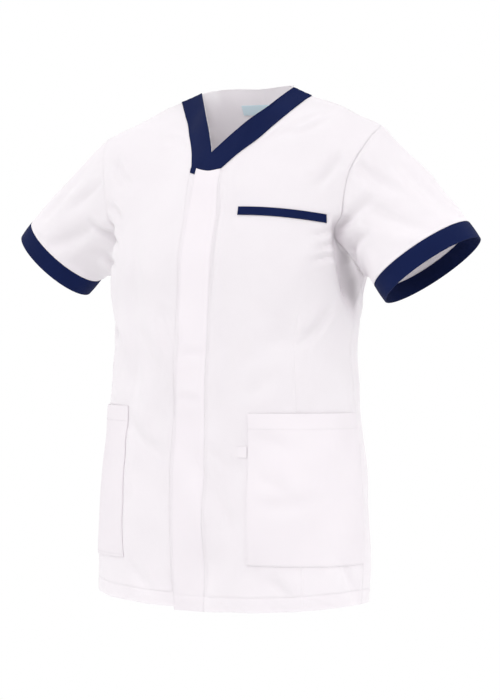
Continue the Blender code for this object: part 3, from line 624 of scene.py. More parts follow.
def placket_p(half, t, foot_x):
    """The p of the closing strip's outer edge in each row t below the neck band."""

    def is_inside(point):
        share = ramp(PLACKET_FULL_Z, V_FOOT_Z, point[..., 2])
        return point[..., 0] < PLACKET_OUTER_X + (foot_x - PLACKET_OUTER_X) * share

    return last_p(half, t, is_inside)


def band_edges(half, edge, foot_t, rows_t):
    """The p and t of the neck band's outer edge, opposite its inner edge in each row."""
    t = np.linspace(foot_t, 2, 80)
    inner = inner_p(half, edge, t)
    line = half.smooth_point(inner, t)
    longer = np.concatenate([[2 * line[0] - line[4]], line, [2 * line[-1] - line[-5]]])
    outer = last_p(half, t, lambda point: distance_to_line(point, longer) < BAND_WIDTH, inner)
    share = np.interp(rows_t, t, length_share(line))
    outer_share = length_share(half.smooth_point(outer, t))
    return np.interp(share, outer_share, outer), np.interp(share, outer_share, t)


def distance_to_line(points, line):
    best = np.full(points.shape[:-1], np.inf)
    for start, end in zip(line[:-1], line[1:]):
        along = end - start
        share = np.clip((points - start) @ along / (along @ along), 0, 1)
        best = np.minimum(best, np.linalg.norm(points - start - share[..., None] * along, axis=-1))
    return best


def lap_lift(points):
    """How far the left front rides over the right one, and over its neck band at the foot of the V."""
    near = ramp(*LAP_FADE_X, points[..., 0])
    return near * LAP_STEP * (1 + ramp(*BAND_LAP_Z, points[..., 2]))


def blend(grid, row, column):
    """A grid's values at rows and columns that need not be whole."""
    row, column = np.broadcast_arrays(np.asarray(row, float), np.asarray(column, float))
    i = np.clip(row.astype(int), 0, grid.shape[0] - 2)
    j = np.clip(column.astype(int), 0, grid.shape[1] - 2)
    a, b = (row - i)[..., None], (column - j)[..., None]
    first, right, above, far = grid[i, j], grid[i, j + 1], grid[i + 1, j], grid[i + 1, j + 1]
    by_right = first + b * (right - first) + a * (far - right)
    by_above = first + a * (above - first) + b * (far - above)
    return np.where(b > a, by_right, by_above)


class Panel:
    """A cloth panel's grid of points, which the pieces that lie on it follow facet by facet."""

    def __init__(self, side, points, normals):
        self.side = side
        self.points = points
        self.normals = normals
        self.rows = np.arange(points.shape[0])
        self.columns = np.arange(points.shape[1])

    def at(self, row, column, lift):
        """Points this far out of the panel."""
        return blend(self.points, row, column) + unit(blend(self.normals, row, column)) * lift

    def row_at(self, column, z):
        return np.interp(z, blend(self.points, self.rows, column)[:, 2], self.rows)

    def column_at(self, x, z):
        """The column of the place at this x and z, x being positive towards the panel's own side."""
        column = len(self.columns) / 2
        for _ in range(20):
            row = self.row_at(column, z)
            column = np.interp(x, blend(self.points, row, self.columns)[:, 0] * self.side, self.columns)
        return column


def inset(grid, edge, amount):
    """Moves a grid's edge row or column towards its neighbour."""
    at, beside = (0, 1) if edge.startswith("first") else (-1, -2)
    lines = grid if edge.endswith("row") else grid.swapaxes(0, 1)
    lines[at] += amount * unit(lines[beside] - lines[at])


def finish_piece(node, made):
    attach(made, "root")
    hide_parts(node)


def add_mesh(name, vertices, faces, material):
    mesh = bpy.data.meshes.new(name)
    mesh.from_pydata(vertices.tolist(), [], faces.tolist())
    mesh.materials.append(material)
    made = bpy.data.objects.new(name, mesh)
    bpy.context.scene.collection.objects.link(made)
    return made


def shell(name, outer, inner, material, is_tube=False):
    """A thin shell between two grids of points, its free edges rounded, with cloth lengths as its UV map."""
    outer, inner = outer.copy(), inner.copy()
    rows, columns, _ = outer.shape
    middle = (outer + inner) / 2
    edges = ("first_row", "last_row") if is_tube else ("first_row", "last_row", "first_column", "last_column")
    for wall in (outer, inner):
        for edge in edges:
            inset(wall, edge, EDGE_ROUNDING)
    index = np.arange(rows * columns).reshape(rows, columns)
    if is_tube:
        index = np.concatenate([index, index[:, :1]], axis=1)
        rims = [index[0], index[-1, ::-1]]
    else:
        ring = np.concatenate([index[0], index[1:, -1], index[-1, -2::-1], index[-2:0:-1, 0], index[:1, 0]])
        rims = [ring]
    quads = np.stack([index[:-1, :-1], index[:-1, 1:], index[1:, 1:], index[1:, :-1]], axis=-1).reshape(-1, 4)
    count = rows * columns
    faces = [quads, quads[:, ::-1] + count]
    middles = []
    start = 2 * count
    for rim in rims:
        loop = rim[:-1]
        after = np.roll(np.arange(len(loop)), -1)
        middles.append(middle.reshape(-1, 3)[loop])
        place = start + np.arange(len(loop))
        faces.append(np.stack([loop[after], loop, place, place[after]], axis=-1))
        faces.append(np.stack([place[after], place, loop + count, loop[after] + count], axis=-1))
        start += len(loop)
    vertices = np.concatenate([outer.reshape(-1, 3), inner.reshape(-1, 3), *middles])
    faces = np.concatenate(faces)
    made = add_mesh(name, vertices, faces, material)
    mesh = made.data
    if signed_volume(vertices, faces) < 0:
        mesh.flip_normals()
    lengths = cloth_lengths(outer)
    flat = lengths.reshape(-1, 2)
    flat = np.concatenate([flat, flat, *(flat[rim[:-1]] for rim in rims)])
    corners = np.empty(len(mesh.loops), int)
    mesh.loops.foreach_get("vertex_index", corners)
    uv = flat[corners].reshape(-1, 4, 2)
    if is_tube:
        around = lengths[:, -1, 0].max()
        wraps = np.ptp(uv[..., 0], axis=1) > around / 2
        uv[..., 0] += around * (wraps[:, None] & (uv[..., 0] < around / 2))
    layer = mesh.uv_layers.new(name="cloth_metres")
    layer.data.foreach_set("uv", uv.reshape(-1))
    mesh.shade_smooth()
    mesh.set_sharp_from_angle(angle=radians(SHARP_ANGLE))
    return made


def signed_volume(vertices, faces):
    a, b, c, d = (vertices[faces[:, k]] for k in range(4))
    return (np.cross(b - a, c - a) * a).sum() + (np.cross(c - a, d - a) * a).sum()


def cloth_lengths(grid):
    """Lengths along the cloth, in metres, across and up to each point of a grid."""
    across = np.linalg.norm(np.diff(grid, axis=1), axis=-1).cumsum(axis=1)
    up = np.linalg.norm(np.diff(grid, axis=0), axis=-1).cumsum(axis=0)
    return np.stack([np.pad(across, ((0, 0), (1, 0))), np.pad(up, ((1, 0), (0, 0)))], axis=-1)


def clustered(count, peaks):
    """Places from 0 to 1, closer together near each peak. A peak is its place, width and gain."""
    dense = np.linspace(0, 1, 4001)
    density = 1 + sum(gain * np.exp(-(((dense - place) / width) ** 2)) for place, width, gain in peaks)
    mass = np.concatenate([[0.0], np.cumsum((density[1:] + density[:-1]) / 2)])
    return np.interp(np.linspace(0, 1, count), mass / mass[-1], dense)


def stitches(name, cloth, lines, material):
    """Short raised threads along lines of points with their ways out, in one mesh that goes with its cloth."""
    centres, ways, outs = [], [], []

    def read(at, length, values):
        return np.stack([np.interp(at, length, values[:, k]) for k in range(3)], axis=-1)

    for points, normals in lines:
        length = lengths_along(points)
        at = np.arange(STITCH_PITCH / 2, length[-1], STITCH_PITCH)
        centres.append(read(at, length, points))
        ways.append(unit(read(at + 1e-4, length, points) - read(at - 1e-4, length, points)))
        outs.append(unit(read(at, length, normals)))
    centres, ways, outs = np.concatenate(centres), np.concatenate(ways), np.concatenate(outs)
    sides = unit(np.cross(ways, outs))
    half = STITCH_PITCH * STITCH_SHARE / 2
    aside, raised = sides * STITCH_WIDTH / 2, outs * STITCH_HEIGHT
    ring = [aside, raised, -aside, -raised]
    waist = half * STITCH_WAIST
    parts = [centres - ways * half]
    parts += [centres - ways * waist + step for step in ring]
    parts += [centres + ways * waist + step for step in ring]
    parts += [centres + ways * half]
    vertices = np.stack(parts, axis=1)
    faces = []
    for k in range(4):
        a, b = 1 + k, 1 + (k + 1) % 4
        faces += [(0, b, a), (a, b, b + 4), (a, b + 4, a + 4), (a + 4, b + 4, 9)]
    faces = np.array(faces)
    every = (faces[None] + 10 * np.arange(len(centres))[:, None, None]).reshape(-1, 3)
    made = add_mesh(name, vertices.reshape(-1, 3), every, material)
    made.data.shade_smooth()
    made.parent = cloth
    return made


def front_grid(half, edge, foot_t, laps_over, has_darts=True):
    """A front's points and normals, from its inner edge to the side seam, armhole and shoulder seam."""
    below, above = BODY_ROWS[BODY_ROWS < foot_t], BODY_ROWS[BODY_ROWS >= foot_t]
    start = inner_p(half, edge, BODY_ROWS)
    band, band_t = band_edges(half, edge, foot_t, above)
    foot_x = half.smooth_point(band[:1], band_t[:1])[0, 0]
    strip_edge = np.concatenate([placket_p(half, below, foot_x), band])
    strip_t = np.concatenate([below, band_t])
    p = spread(start, strip_edge, np.ones(BODY_ROWS.shape))
    t = spread(BODY_ROWS, strip_t, BODY_ROWS)
    lift = lap_lift(half.smooth_point(p, t)) if laps_over else np.zeros(p.shape)
    return half.cloth(p, t, lift, has_darts), half.smooth_normal(p, t) * half.mirror


def spread(start, strip_edge, end):
    """Values in a front's columns: across the strip, and from there to the side."""
    near = clustered(STRIP_COLUMNS, ((0.0, 0.05, 2.0), (1.0, 0.05, 2.0)))
    peaks = ((0.507, 0.015, 5.0), (1.0, 0.02, 4.0), (0.0, 0.02, 2.0))
    far = clustered(FRONT_COLUMNS - STRIP_COLUMNS + 1, peaks)[1:]
    start, strip_edge, end = start[:, None], strip_edge[:, None], end[:, None]
    across_strip = start + (strip_edge - start) * near
    across_rest = strip_edge + (end - strip_edge) * far
    return np.concatenate([across_strip, across_rest], axis=1)


def back_grid():
    across = clustered(BACK_COLUMNS, ((1.0, 0.02, 4.0),))
    p = np.broadcast_to(across, (len(BODY_ROWS), BACK_COLUMNS))
    t = np.broadcast_to(BODY_ROWS[:, None], p.shape)
    points, normals = [], []
    for half in (BACK_RIGHT, BACK_LEFT):
        order = slice(None, 0, -1) if half is BACK_RIGHT else slice(None)
        points.append(half.cloth(p, t, np.zeros(p.shape))[:, order])
        normals.append((half.smooth_normal(p, t) * half.mirror)[:, order])
    return np.concatenate(points, axis=1), np.concatenate(normals, axis=1)


def panel_shell(name, side, grid, material):
    points, normals = grid
    return shell(name, points, points - normals * WALL, material), Panel(side, points, normals)


def whole_between(low, high):
    """The whole numbers between two values, leaving out any that is close to one of them."""
    return np.arange(np.ceil(low + 0.15), np.floor(high - 0.15) + 1)


def laid_on(name, panel, columns, foot_rows, top_rows, lift, wall, material, fullness=None):
    """A four-sided piece that lies on a panel, and its own face as a panel.

    columns holds the columns of its inner and outer edge, each at the foot and at the top. foot_rows and
    top_rows give the row of its foot and top at a column. fullness gives how much further out it stands at each
    place, from the share of the way out and up.
    """
    (inner_foot, inner_top), (outer_foot, outer_top) = columns
    whole_columns = whole_between(max(inner_foot, inner_top), min(outer_foot, outer_top))
    foot_columns = np.array([inner_foot, *whole_columns, outer_foot])
    top_columns = np.array([inner_top, *whole_columns, outer_top])
    foot, top = foot_rows(foot_columns), top_rows(top_columns)
    whole_rows = whole_between(foot.max(), top.min())
    between = np.concatenate([[0.0], (whole_rows - foot.max()) / max(top.min() - foot.max(), 1), [1.0]])
    if len(between) < 8:
        between = np.linspace(0, 1, 8)
    row = foot + (top - foot) * between[:, None]
    column = foot_columns + (top_columns - foot_columns) * between[:, None]
    place = panel.at(row, column, 0.0)
    size = cloth_lengths(place)
    out = size[..., 0] / size[:, -1:, 0]
    up = size[..., 1] / size[-1:, :, 1]
    more = fullness(out, up)[..., None] if fullness else 0.0
    outer, inner = panel.at(row, column, lift + wall + more), panel.at(row, column, lift + more)
    face = Panel(panel.side, outer, unit(blend(panel.normals, row, column)))
    return shell(name, outer, inner, material), face


def strip(name, panel, foot, top, material, fullness=None):
    """A band along a front's inner edge, between two rows."""
    inset_top = SEAM_GAP / 2 / np.linalg.norm(panel.at(top, 0, 0) - panel.at(top - 1, 0, 0))
    columns = ((0, 0), (STRIP_COLUMNS - 1, STRIP_COLUMNS - 1))

    def foot_rows(column):
        return np.full(column.shape, float(foot))

    def top_rows(column):
        return np.full(column.shape, top - inset_top)

    return laid_on(name, panel, columns, foot_rows, top_rows, SEAM_GAP, WALL, material, fullness)


def patch(name, panel, columns, inner_z, outer_z, height, lift, wall, material, bow=0.0, fullness=None):
    """A piece whose top edge goes from one height to another, bowed up, with its foot this far below."""
    (inner, _), (outer, _) = columns

    def place_x(column, z):
        return blend(panel.points, panel.row_at(column, z), column)[0]

    first_x, last_x = place_x(inner, inner_z), place_x(outer, outer_z)

    def rows(columns, drop):
        found = []
        for column in columns:
            share = (place_x(column, inner_z - drop) - first_x) / (last_x - first_x)
            z = inner_z + (outer_z - inner_z) * share + bow * 4 * share * (1 - share) - drop
            found.append(panel.row_at(column, z))
        return np.array(found)

    def foot_rows(columns):
        return rows(columns, height)

    def top_rows(columns):
        return rows(columns, 0.0)

    return laid_on(name, panel, columns, foot_rows, top_rows, lift, wall, material, fullness)


def pocket_fullness(out, up):
    """A pocket stands a little off the cloth at its middle, and more at its open top."""
    middle = np.sin(pi * np.clip(out, 0, 1))
    return POCKET_FULLNESS * middle * np.sin(pi * up) ** 0.5 + POCKET_MOUTH * middle * ramp(0.75, 1.0, up)


def pocket(name, panel, size, material):
    """A patch pocket, from its inner edge to the side seam."""
    side = panel.columns[-1] - POCKET_SIDE_SHARE
    inner = (panel.column_at(size.inner_x, size.foot_z), panel.column_at(size.inner_x, size.top_z))
    top_z, height = size.top_z, size.top_z - size.foot_z
    columns = (inner, (side, side))
    return patch(name, panel, columns, top_z, top_z, height, SEAM_GAP, WALL, material, 0.0, pocket_fullness)


def small_patch(name, panel, inner_x, inner_z, outer_x, outer_z, height, lift, wall, material, bow=0.0):
    """A small strip between two places, which are its upper corners."""
    inner, outer = panel.column_at(inner_x, inner_z), panel.column_at(outer_x, outer_z)
    columns = ((inner, inner), (outer, outer))
    return patch(name, panel, columns, inner_z, outer_z, height, lift, wall, material, bow)


def armhole_loop(front, back, depth):
    """The armhole's edge from the underarm up the front and down the back, and the panels' way out there."""
    loops, ways = [], []
    for half in (front, back):
        p = np.ones_like(YOKE_ROWS_T)
        level = np.full(p.shape, -depth)
        edge = half.cloth(p, YOKE_ROWS_T, level)
        loops.append(edge)
        ways.append(unit(edge - half.cloth(p - 0.02, YOKE_ROWS_T, level)))
    for end in (0, -1):
        loops[0][end] = (loops[0][end] + loops[1][end]) / 2
        ways[0][end] = unit(ways[0][end] + ways[1][end])
    loop = np.concatenate([loops[0], loops[1][-2:0:-1]])
    way = np.concatenate([ways[0], ways[1][-2:0:-1]])
    return loop, way


def cuff_ring(cuff, count, back_along_axis, swell=0.0):
    """Points round the sleeve, from its underside up the front and down the back."""
    axis = unit(np.array(cuff.axis))
    outward = np.array(cuff.outward)
    outward = unit(outward - axis * (outward @ axis))
    forward = np.cross(axis, outward)
    forward *= -np.sign(forward[1])
    angle = np.linspace(0, 2 * pi, count, endpoint=False)[:, None]
    centre = np.array(cuff.centre) - axis * back_along_axis
    across = outward * (cuff.long_radius + swell) * np.cos(angle)
    fuller = cuff.back_fullness * (back_along_axis / CUFF_WIDTH) * (np.sin(angle) < 0)
    return centre - across + forward * (cuff.short_radius + fuller + swell) * np.sin(angle)


def tube_normals(rings):
    """Unit vectors out of a tube of rings."""
    along = np.gradient(rings, axis=0)
    around = np.roll(rings, -1, axis=1) - np.roll(rings, 1, axis=1)
    out = unit(np.cross(around, along))
    centre = rings.mean(axis=1, keepdims=True)
    return out if ((rings - centre) * out).sum() > 0 else -out


def sleeve_grid(front, back, cuff, shift):
    """A sleeve's outer points, from the armhole to the cuff, with creases and the swell beside its seam."""
    loop, way = armhole_loop(front, back, 0.0)
    end = cuff_ring(cuff, len(loop), CUFF_WIDTH)
    up = (loop[:, 2:] - UNDERARM.z) / (SHOULDER_TIP.z - UNDERARM.z)
    start_way = np.array(cuff.top_start) * up + np.array(SLEEVE_UNDER_START) * (1 - up)
    start_way = start_way * front.mirror
    reach = np.linalg.norm(end - loop, axis=-1, keepdims=True)
    start_slope = start_way * reach * SLEEVE_START_REACH
    end_slope = unit(np.array(cuff.axis)) * reach * SLEEVE_END_REACH
    share = clustered(SLEEVE_RINGS, ((0.0, 0.03, 4.0), (1.0, 0.02, 2.0)))[:, None, None]
    outer = hermite(loop, start_slope, end, end_slope, share)
    normals = tube_normals(outer)
    around = np.broadcast_to(np.linspace(0, 1, len(loop), endpoint=False), outer.shape[:2]) + shift
    along = np.broadcast_to(share[..., 0], outer.shape[:2])
    depth = np.zeros(outer.shape[:2])
    scale = (SLEEVE_GIRTH, SLEEVE_LENGTH, SLEEVE_GIRTH, SLEEVE_LENGTH, 1, 1, 1)
    creases = [Crease(*np.multiply(crease, scale)) for crease in SLEEVE_CREASES]
    for turn in (-1, 0, 1):
        flat = np.stack([(around + turn) * SLEEVE_GIRTH, along * 0, along * SLEEVE_LENGTH], axis=-1)
        depth += crease_depth(flat, np.broadcast_to([0.0, 1.0, 0.0], flat.shape), creases)
    depth -= ripple(outer, 5 + front.side)
    from_seam = np.broadcast_to(share[..., 0] * reach[:, 0], depth.shape)
    swell = SLEEVE_SWELL * np.exp(-(((from_seam - SLEEVE_SWELL_AT) / 0.006) ** 2))
    seam = seam_groove(from_seam, around * SLEEVE_GIRTH, SLEEVE_GROOVE) - swell
    depth = depth * ramp(0.0, 0.10, along) * ramp(1.0, 0.90, along) + seam
    return outer - normals * depth[..., None], normals, way


def sleeve_shell(name, front, back, cuff, shift, material):
    outer, normals, way = sleeve_grid(front, back, cuff, shift)
    inner = outer - normals * WALL
    inner[0], _ = armhole_loop(front, back, WALL)
    for wall in (outer, inner):
        wall[0] -= way * SLEEVE_LAP + normals[0] * SLEEVE_LAP / 6
    return shell(name, outer, inner, material, is_tube=True)


def cuff_shell(name, cuff, material):
    """The folded band on a sleeve's opening, a little fuller at its middle."""
    count = 2 * (len(YOKE_ROWS_T) - 1)
    shares = np.linspace(1, 0, CUFF_RINGS)
    walls = []
    for swell, way in ((SEAM_GAP, 1), (-WALL - SEAM_GAP, -1)):
        fuller = BAND_FULLNESS * np.sin(pi * shares)
        places = zip(CUFF_WIDTH * shares, swell + way * fuller)
        wall = np.stack([cuff_ring(cuff, count, back, lift) for back, lift in places])
        inset(wall, "first_row", SEAM_GAP / 2)
        walls.append(wall)
    return shell(name, *walls, material, is_tube=True)


def foot_row(half, edge, z):
    """The t at which a front's inner edge has this height."""
    t = np.linspace(1.2, 2, 400)
    return float(np.interp(z, half.smooth_point(inner_p(half, edge, t), t)[..., 2], t))


FOOT_T = foot_row(FRONT_LEFT, LEFT_EDGE, V_FOOT_Z)
BODY_ROWS = np.concatenate(
    [
        clustered(LOWER_ROWS, ((0.0, 0.010, 3.0), (HEM_DEPTH / LOWER_HEIGHT, 0.008, 4.0))),
        np.linspace(1, FOOT_T, CHEST_ROWS)[1:],
        np.linspace(FOOT_T, 2, NECK_ROWS)[1:],
    ]
)
FOOT_ROW = LOWER_ROWS + CHEST_ROWS - 2
YOKE_ROWS_T = BODY_ROWS[LOWER_ROWS - 1:]
TOP_ROW = len(BODY_ROWS) - 1


# Materials
def add_node(nodes, kind, values):
    """A shader node with these values on its own sockets."""
    made = nodes.new("ShaderNode" + kind)
    set_values(made, values)
    return made


def set_values(node, values):
    for socket, value in values.items():
        node.inputs[socket].default_value = value


Cloth = namedtuple("Cloth", "name colour other weave roughness sheen relief see_through")
WHITE = ((0.815, 0.775, 0.805), (0.795, 0.755, 0.785))
NAVY = ((0.0038, 0.0110, 0.064), (0.0030, 0.0085, 0.051))
PALE_BLUE = ((0.72, 0.87, 0.94), (0.68, 0.83, 0.90))
WHITE_SEWING = ((0.80, 0.765, 0.79), (0.76, 0.73, 0.76))
NAVY_SEWING = ((0.010, 0.022, 0.095), (0.007, 0.016, 0.075))
TWILL_TURN = 27
TWILL_SCALE = 0.314
RELIEF_DEPTH = 0.00012
LIGHT_REACH = 0.0030
SPECULAR_LEVEL = 0.12
SHEEN_ROUGHNESS = 0.45
DRIFT_SCALE = 14.0
DRIFT_ENDS = (0.30, 0.72)
SLUB_SCALE = 420.0


def cloth_material(cloth):
    """Woven cloth: a fine twill in relief, soft slubs, and a slow drift between two near colours."""
    made = bpy.data.materials.new(cloth.name)
    made.use_nodes = True
    nodes, links = made.node_tree.nodes, made.node_tree.links
    shader = nodes["Principled BSDF"]
    set_values(
        shader,
        {
            "Roughness": cloth.roughness,
            "Metallic": 0.0,
            "Specular IOR Level": SPECULAR_LEVEL,
            "Sheen Weight": cloth.sheen,
            "Sheen Roughness": SHEEN_ROUGHNESS,
            "Subsurface Weight": cloth.see_through,
            "Subsurface Radius": (1.0, 1.0, 1.0),
            "Subsurface Scale": LIGHT_REACH,
        },
    )
    place = nodes.new("ShaderNodeTexCoord")
    drift = add_node(nodes, "TexNoise", {"Scale": DRIFT_SCALE, "Detail": 5.0})
    links.new(place.outputs["Object"], drift.inputs["Vector"])
    tone = nodes.new("ShaderNodeValToRGB")
    for element, at, colour in zip(tone.color_ramp.elements, DRIFT_ENDS, (cloth.other, cloth.colour)):
        element.position = at
        element.color = (*colour, 1)
    links.new(drift.outputs["Fac"], tone.inputs["Fac"])
    links.new(tone.outputs["Color"], shader.inputs["Base Color"])
    turned = add_node(nodes, "Mapping", {"Rotation": (0, 0, radians(TWILL_TURN))})
    links.new(place.outputs["UV"], turned.inputs["Vector"])
    twill = add_node(nodes, "TexWave", {"Scale": TWILL_SCALE / cloth.weave, "Distortion": 0.6, "Detail": 2.0})
    twill.bands_direction = "X"
    links.new(turned.outputs["Vector"], twill.inputs["Vector"])
    slub = add_node(nodes, "TexNoise", {"Scale": SLUB_SCALE, "Detail": 4.0})
    links.new(place.outputs["UV"], slub.inputs["Vector"])
    both = nodes.new("ShaderNodeMath")
    both.operation = "ADD"
    links.new(twill.outputs["Fac"], both.inputs[0])
    links.new(slub.outputs["Fac"], both.inputs[1])
    bump = add_node(nodes, "Bump", {"Strength": cloth.relief, "Distance": RELIEF_DEPTH})
    links.new(both.outputs["Value"], bump.inputs["Height"])
    links.new(bump.outputs["Normal"], shader.inputs["Normal"])
    return made


WHITE_CLOTH = cloth_material(Cloth("white_cloth_woven", *WHITE, 0.0006, 0.88, 0.12, 0.25, 0.6))
DOUBLE_CLOTH = cloth_material(Cloth("white_cloth_on_cloth", *WHITE, 0.0006, 0.88, 0.12, 0.25, 0.0))
NAVY_CLOTH = cloth_material(Cloth("navy_cloth_woven", *NAVY, 0.0006, 0.85, 0.02, 0.6, 0.0))
LABEL_CLOTH = cloth_material(Cloth("label_cloth_woven", *PALE_BLUE, 0.0004, 0.72, 0.15, 0.4, 0.0))
WHITE_THREAD = cloth_material(Cloth("white_thread", *WHITE_SEWING, 0.0003, 0.70, 0.05, 0.2, 0.0))
NAVY_THREAD = cloth_material(Cloth("navy_thread", *NAVY_SEWING, 0.0003, 0.60, 0.02, 0.3, 0.0))

# Body panels
left_grid = front_grid(FRONT_LEFT, LEFT_EDGE, FOOT_T, True)
right_grid = front_grid(FRONT_RIGHT, RIGHT_EDGE, FOOT_T, False)
left_cloth, left = panel_shell("front_left_cloth", 1, left_grid, WHITE_CLOTH)
right_cloth, right = panel_shell("front_right_cloth", -1, right_grid, WHITE_CLOTH)
back_cloth, back = panel_shell("back_cloth", 1, back_grid(), WHITE_CLOTH)

# Pieces laid on them
row_height = np.linalg.norm(left.at(FOOT_ROW, 0, 0) - left.at(FOOT_ROW - 1, 0, 0))
placket_top = FOOT_ROW - SEAM_GAP / row_height
right_foot = right.row_at(STRIP_COLUMNS - 1, RIGHT_BAND_FOOT_Z)
LABEL_LIFT = -WALL - SMALL_PIECE_LIFT - TRIM_WALL


def placket_fullness(out, up):
    """The closing strip sinks to the front's own face along its sewn edge."""
    return -(SEAM_GAP + WALL + 0.0001) * ramp(PLACKET_SINK_FROM, 1.0, out)


placket_cloth, placket_face = strip("placket_cloth", left, 0, placket_top, DOUBLE_CLOTH, placket_fullness)
band_left, band_left_face = strip("neck_band_left_cloth", left, FOOT_ROW, TOP_ROW, NAVY_CLOTH)
band_right, band_right_face = strip("neck_band_right_cloth", right, right_foot, TOP_ROW, NAVY_CLOTH)
plain_left = Panel(1, *front_grid(FRONT_LEFT, LEFT_EDGE, FOOT_T, True, has_darts=False))
plain_right = Panel(-1, *front_grid(FRONT_RIGHT, RIGHT_EDGE, FOOT_T, False, has_darts=False))
pocket_left, pocket_left_face = pocket("pocket_left_cloth", plain_left, POCKET_LEFT, DOUBLE_CLOTH)
pocket_right, pocket_right_face = pocket("pocket_right_cloth", plain_right, POCKET_RIGHT, DOUBLE_CLOTH)
welt, welt_face = small_patch(
    "chest_welt_cloth", left, WELT_INNER_X, WELT_INNER_Z, WELT_OUTER_X, WELT_OUTER_Z, WELT_HEIGHT,
    SMALL_PIECE_LIFT, WALL, NAVY_CLOTH, WELT_BOW
)
tab, _ = small_patch(
    "pocket_tab_cloth", left, TAB_INNER_X, TAB_TOP_Z, TAB_OUTER_X, TAB_TOP_Z, TAB_HEIGHT, SEAM_GAP, TRIM_WALL,
    DOUBLE_CLOTH
)
label, label_face = small_patch(
    "neck_label_cloth", back, -LABEL_WIDTH / 2, LABEL_TOP_Z, LABEL_WIDTH / 2, LABEL_TOP_Z, LABEL_HEIGHT,
    LABEL_LIFT, TRIM_WALL, LABEL_CLOTH
)

# Sleeves and cuffs. The last number of a sleeve shifts its creases round it.
sleeve_left = sleeve_shell("sleeve_left_cloth", FRONT_LEFT, BACK_LEFT, CUFF_LEFT, 0.0, WHITE_CLOTH)
sleeve_right = sleeve_shell("sleeve_right_cloth", FRONT_RIGHT, BACK_RIGHT, CUFF_RIGHT, 0.04, WHITE_CLOTH)
cuff_left = cuff_shell("cuff_left_cloth", CUFF_LEFT, NAVY_CLOTH)
cuff_right = cuff_shell("cuff_right_cloth", CUFF_RIGHT, NAVY_CLOTH)

# Each piece's cloth goes under the root, and the solid part of its node is hidden
finish_piece("front_left", left_cloth)
finish_piece("front_right", right_cloth)
finish_piece("back", back_cloth)
finish_piece("placket", placket_cloth)
finish_piece("neck_band_left", band_left)
finish_piece("neck_band_right", band_right)
finish_piece("pocket_left", pocket_left)
finish_piece("pocket_right", pocket_right)
finish_piece("chest_welt", welt)
finish_piece("pocket_tab", tab)
finish_piece("neck_label", label)
finish_piece("sleeve_left", sleeve_left)
finish_piece("sleeve_right", sleeve_right)
finish_piece("cuff_left", cuff_left)
finish_piece("cuff_right", cuff_right)


# Stitching
def on_panel(panel, rows, columns, lift):
    """A line of points on a panel with the ways out there."""
    rows, columns = np.broadcast_arrays(np.asarray(rows, float), np.asarray(columns, float))
    return panel.at(rows, columns, lift), unit(blend(panel.normals, rows, columns))


def hem_row(panel):
    return np.interp(HEM_DEPTH / LOWER_HEIGHT, BODY_ROWS, panel.rows)


def beside_edges(face, edges):
    """Lines of stitches just inside the named edges of a piece."""
    last_row, last_column = face.rows[-1], face.columns[-1]
    down, across = np.linspace(0.2, last_row - 0.2, 160), np.linspace(0.2, last_column - 0.2, 160)
    places = {
        "foot": (row_share(face, 0, 1), across),
        "top": (last_row - row_share(face, -1, -2), across),
        "inner": (down, column_share(face, 0, 1)),
        "outer": (down, last_column - column_share(face, -1, -2)),
    }
    return [on_panel(face, *places[edge], on_cloth) for edge in edges]


def row_share(face, edge, beside):
    """How many rows in from an edge its stitches lie."""
    return STITCH_INSET / np.linalg.norm(face.points[edge] - face.points[beside], axis=-1).mean()


def column_share(face, edge, beside):
    return STITCH_INSET / np.linalg.norm(face.points[:, edge] - face.points[:, beside], axis=-1).mean()


def pocket_hem(face):
    row = face.row_at(len(face.columns) // 2, face.points[-1].mean(axis=0)[2] - POCKET_HEM_DEPTH)
    return on_panel(face, row, np.linspace(0.2, face.columns[-1] - 0.2, 120), on_cloth)


on_cloth = STITCH_HEIGHT * 0.3
side_columns = np.arange(STRIP_COLUMNS + 1, FRONT_COLUMNS - 1)
for cloth, panel, name in ((left_cloth, left, "front_left"), (right_cloth, right, "front_right")):
    hem = hem_row(panel)
    lines = [on_panel(panel, hem, side_columns, on_cloth)]
    lines.append(on_panel(panel, np.arange(hem, FOOT_ROW), STRIP_COLUMNS + 0.5, on_cloth))
    lines.append(on_panel(panel, np.arange(LOWER_ROWS, TOP_ROW), FRONT_COLUMNS - 4.2, on_cloth))
    stitches(name + "_stitches", cloth, lines, WHITE_THREAD)
lines = [on_panel(back, hem_row(back), np.arange(1, 2 * BACK_COLUMNS - 2), on_cloth)]
stitches("back_stitches", back_cloth, lines, WHITE_THREAD)

SIDES = ("inner", "outer")
lines = beside_edges(placket_face, SIDES)
stitches("placket_stitches", placket_cloth, lines, WHITE_THREAD)
for cloth, face, name in (
    (pocket_left, pocket_left_face, "pocket_left"),
    (pocket_right, pocket_right_face, "pocket_right"),
):
    lines = beside_edges(face, ("foot", "inner")) + [pocket_hem(face)]
    stitches(name + "_stitches", cloth, lines, WHITE_THREAD)
for cloth, face, name in (
    (band_left, band_left_face, "neck_band_left"),
    (band_right, band_right_face, "neck_band_right"),
):
    stitches(name + "_stitches", cloth, beside_edges(face, SIDES), NAVY_THREAD)
lines = beside_edges(welt_face, ("foot", *SIDES))
stitches("chest_welt_stitches", welt, lines, NAVY_THREAD)
lines = beside_edges(label_face, ("top", *SIDES))
stitches("neck_label_stitches", label, lines, WHITE_THREAD)


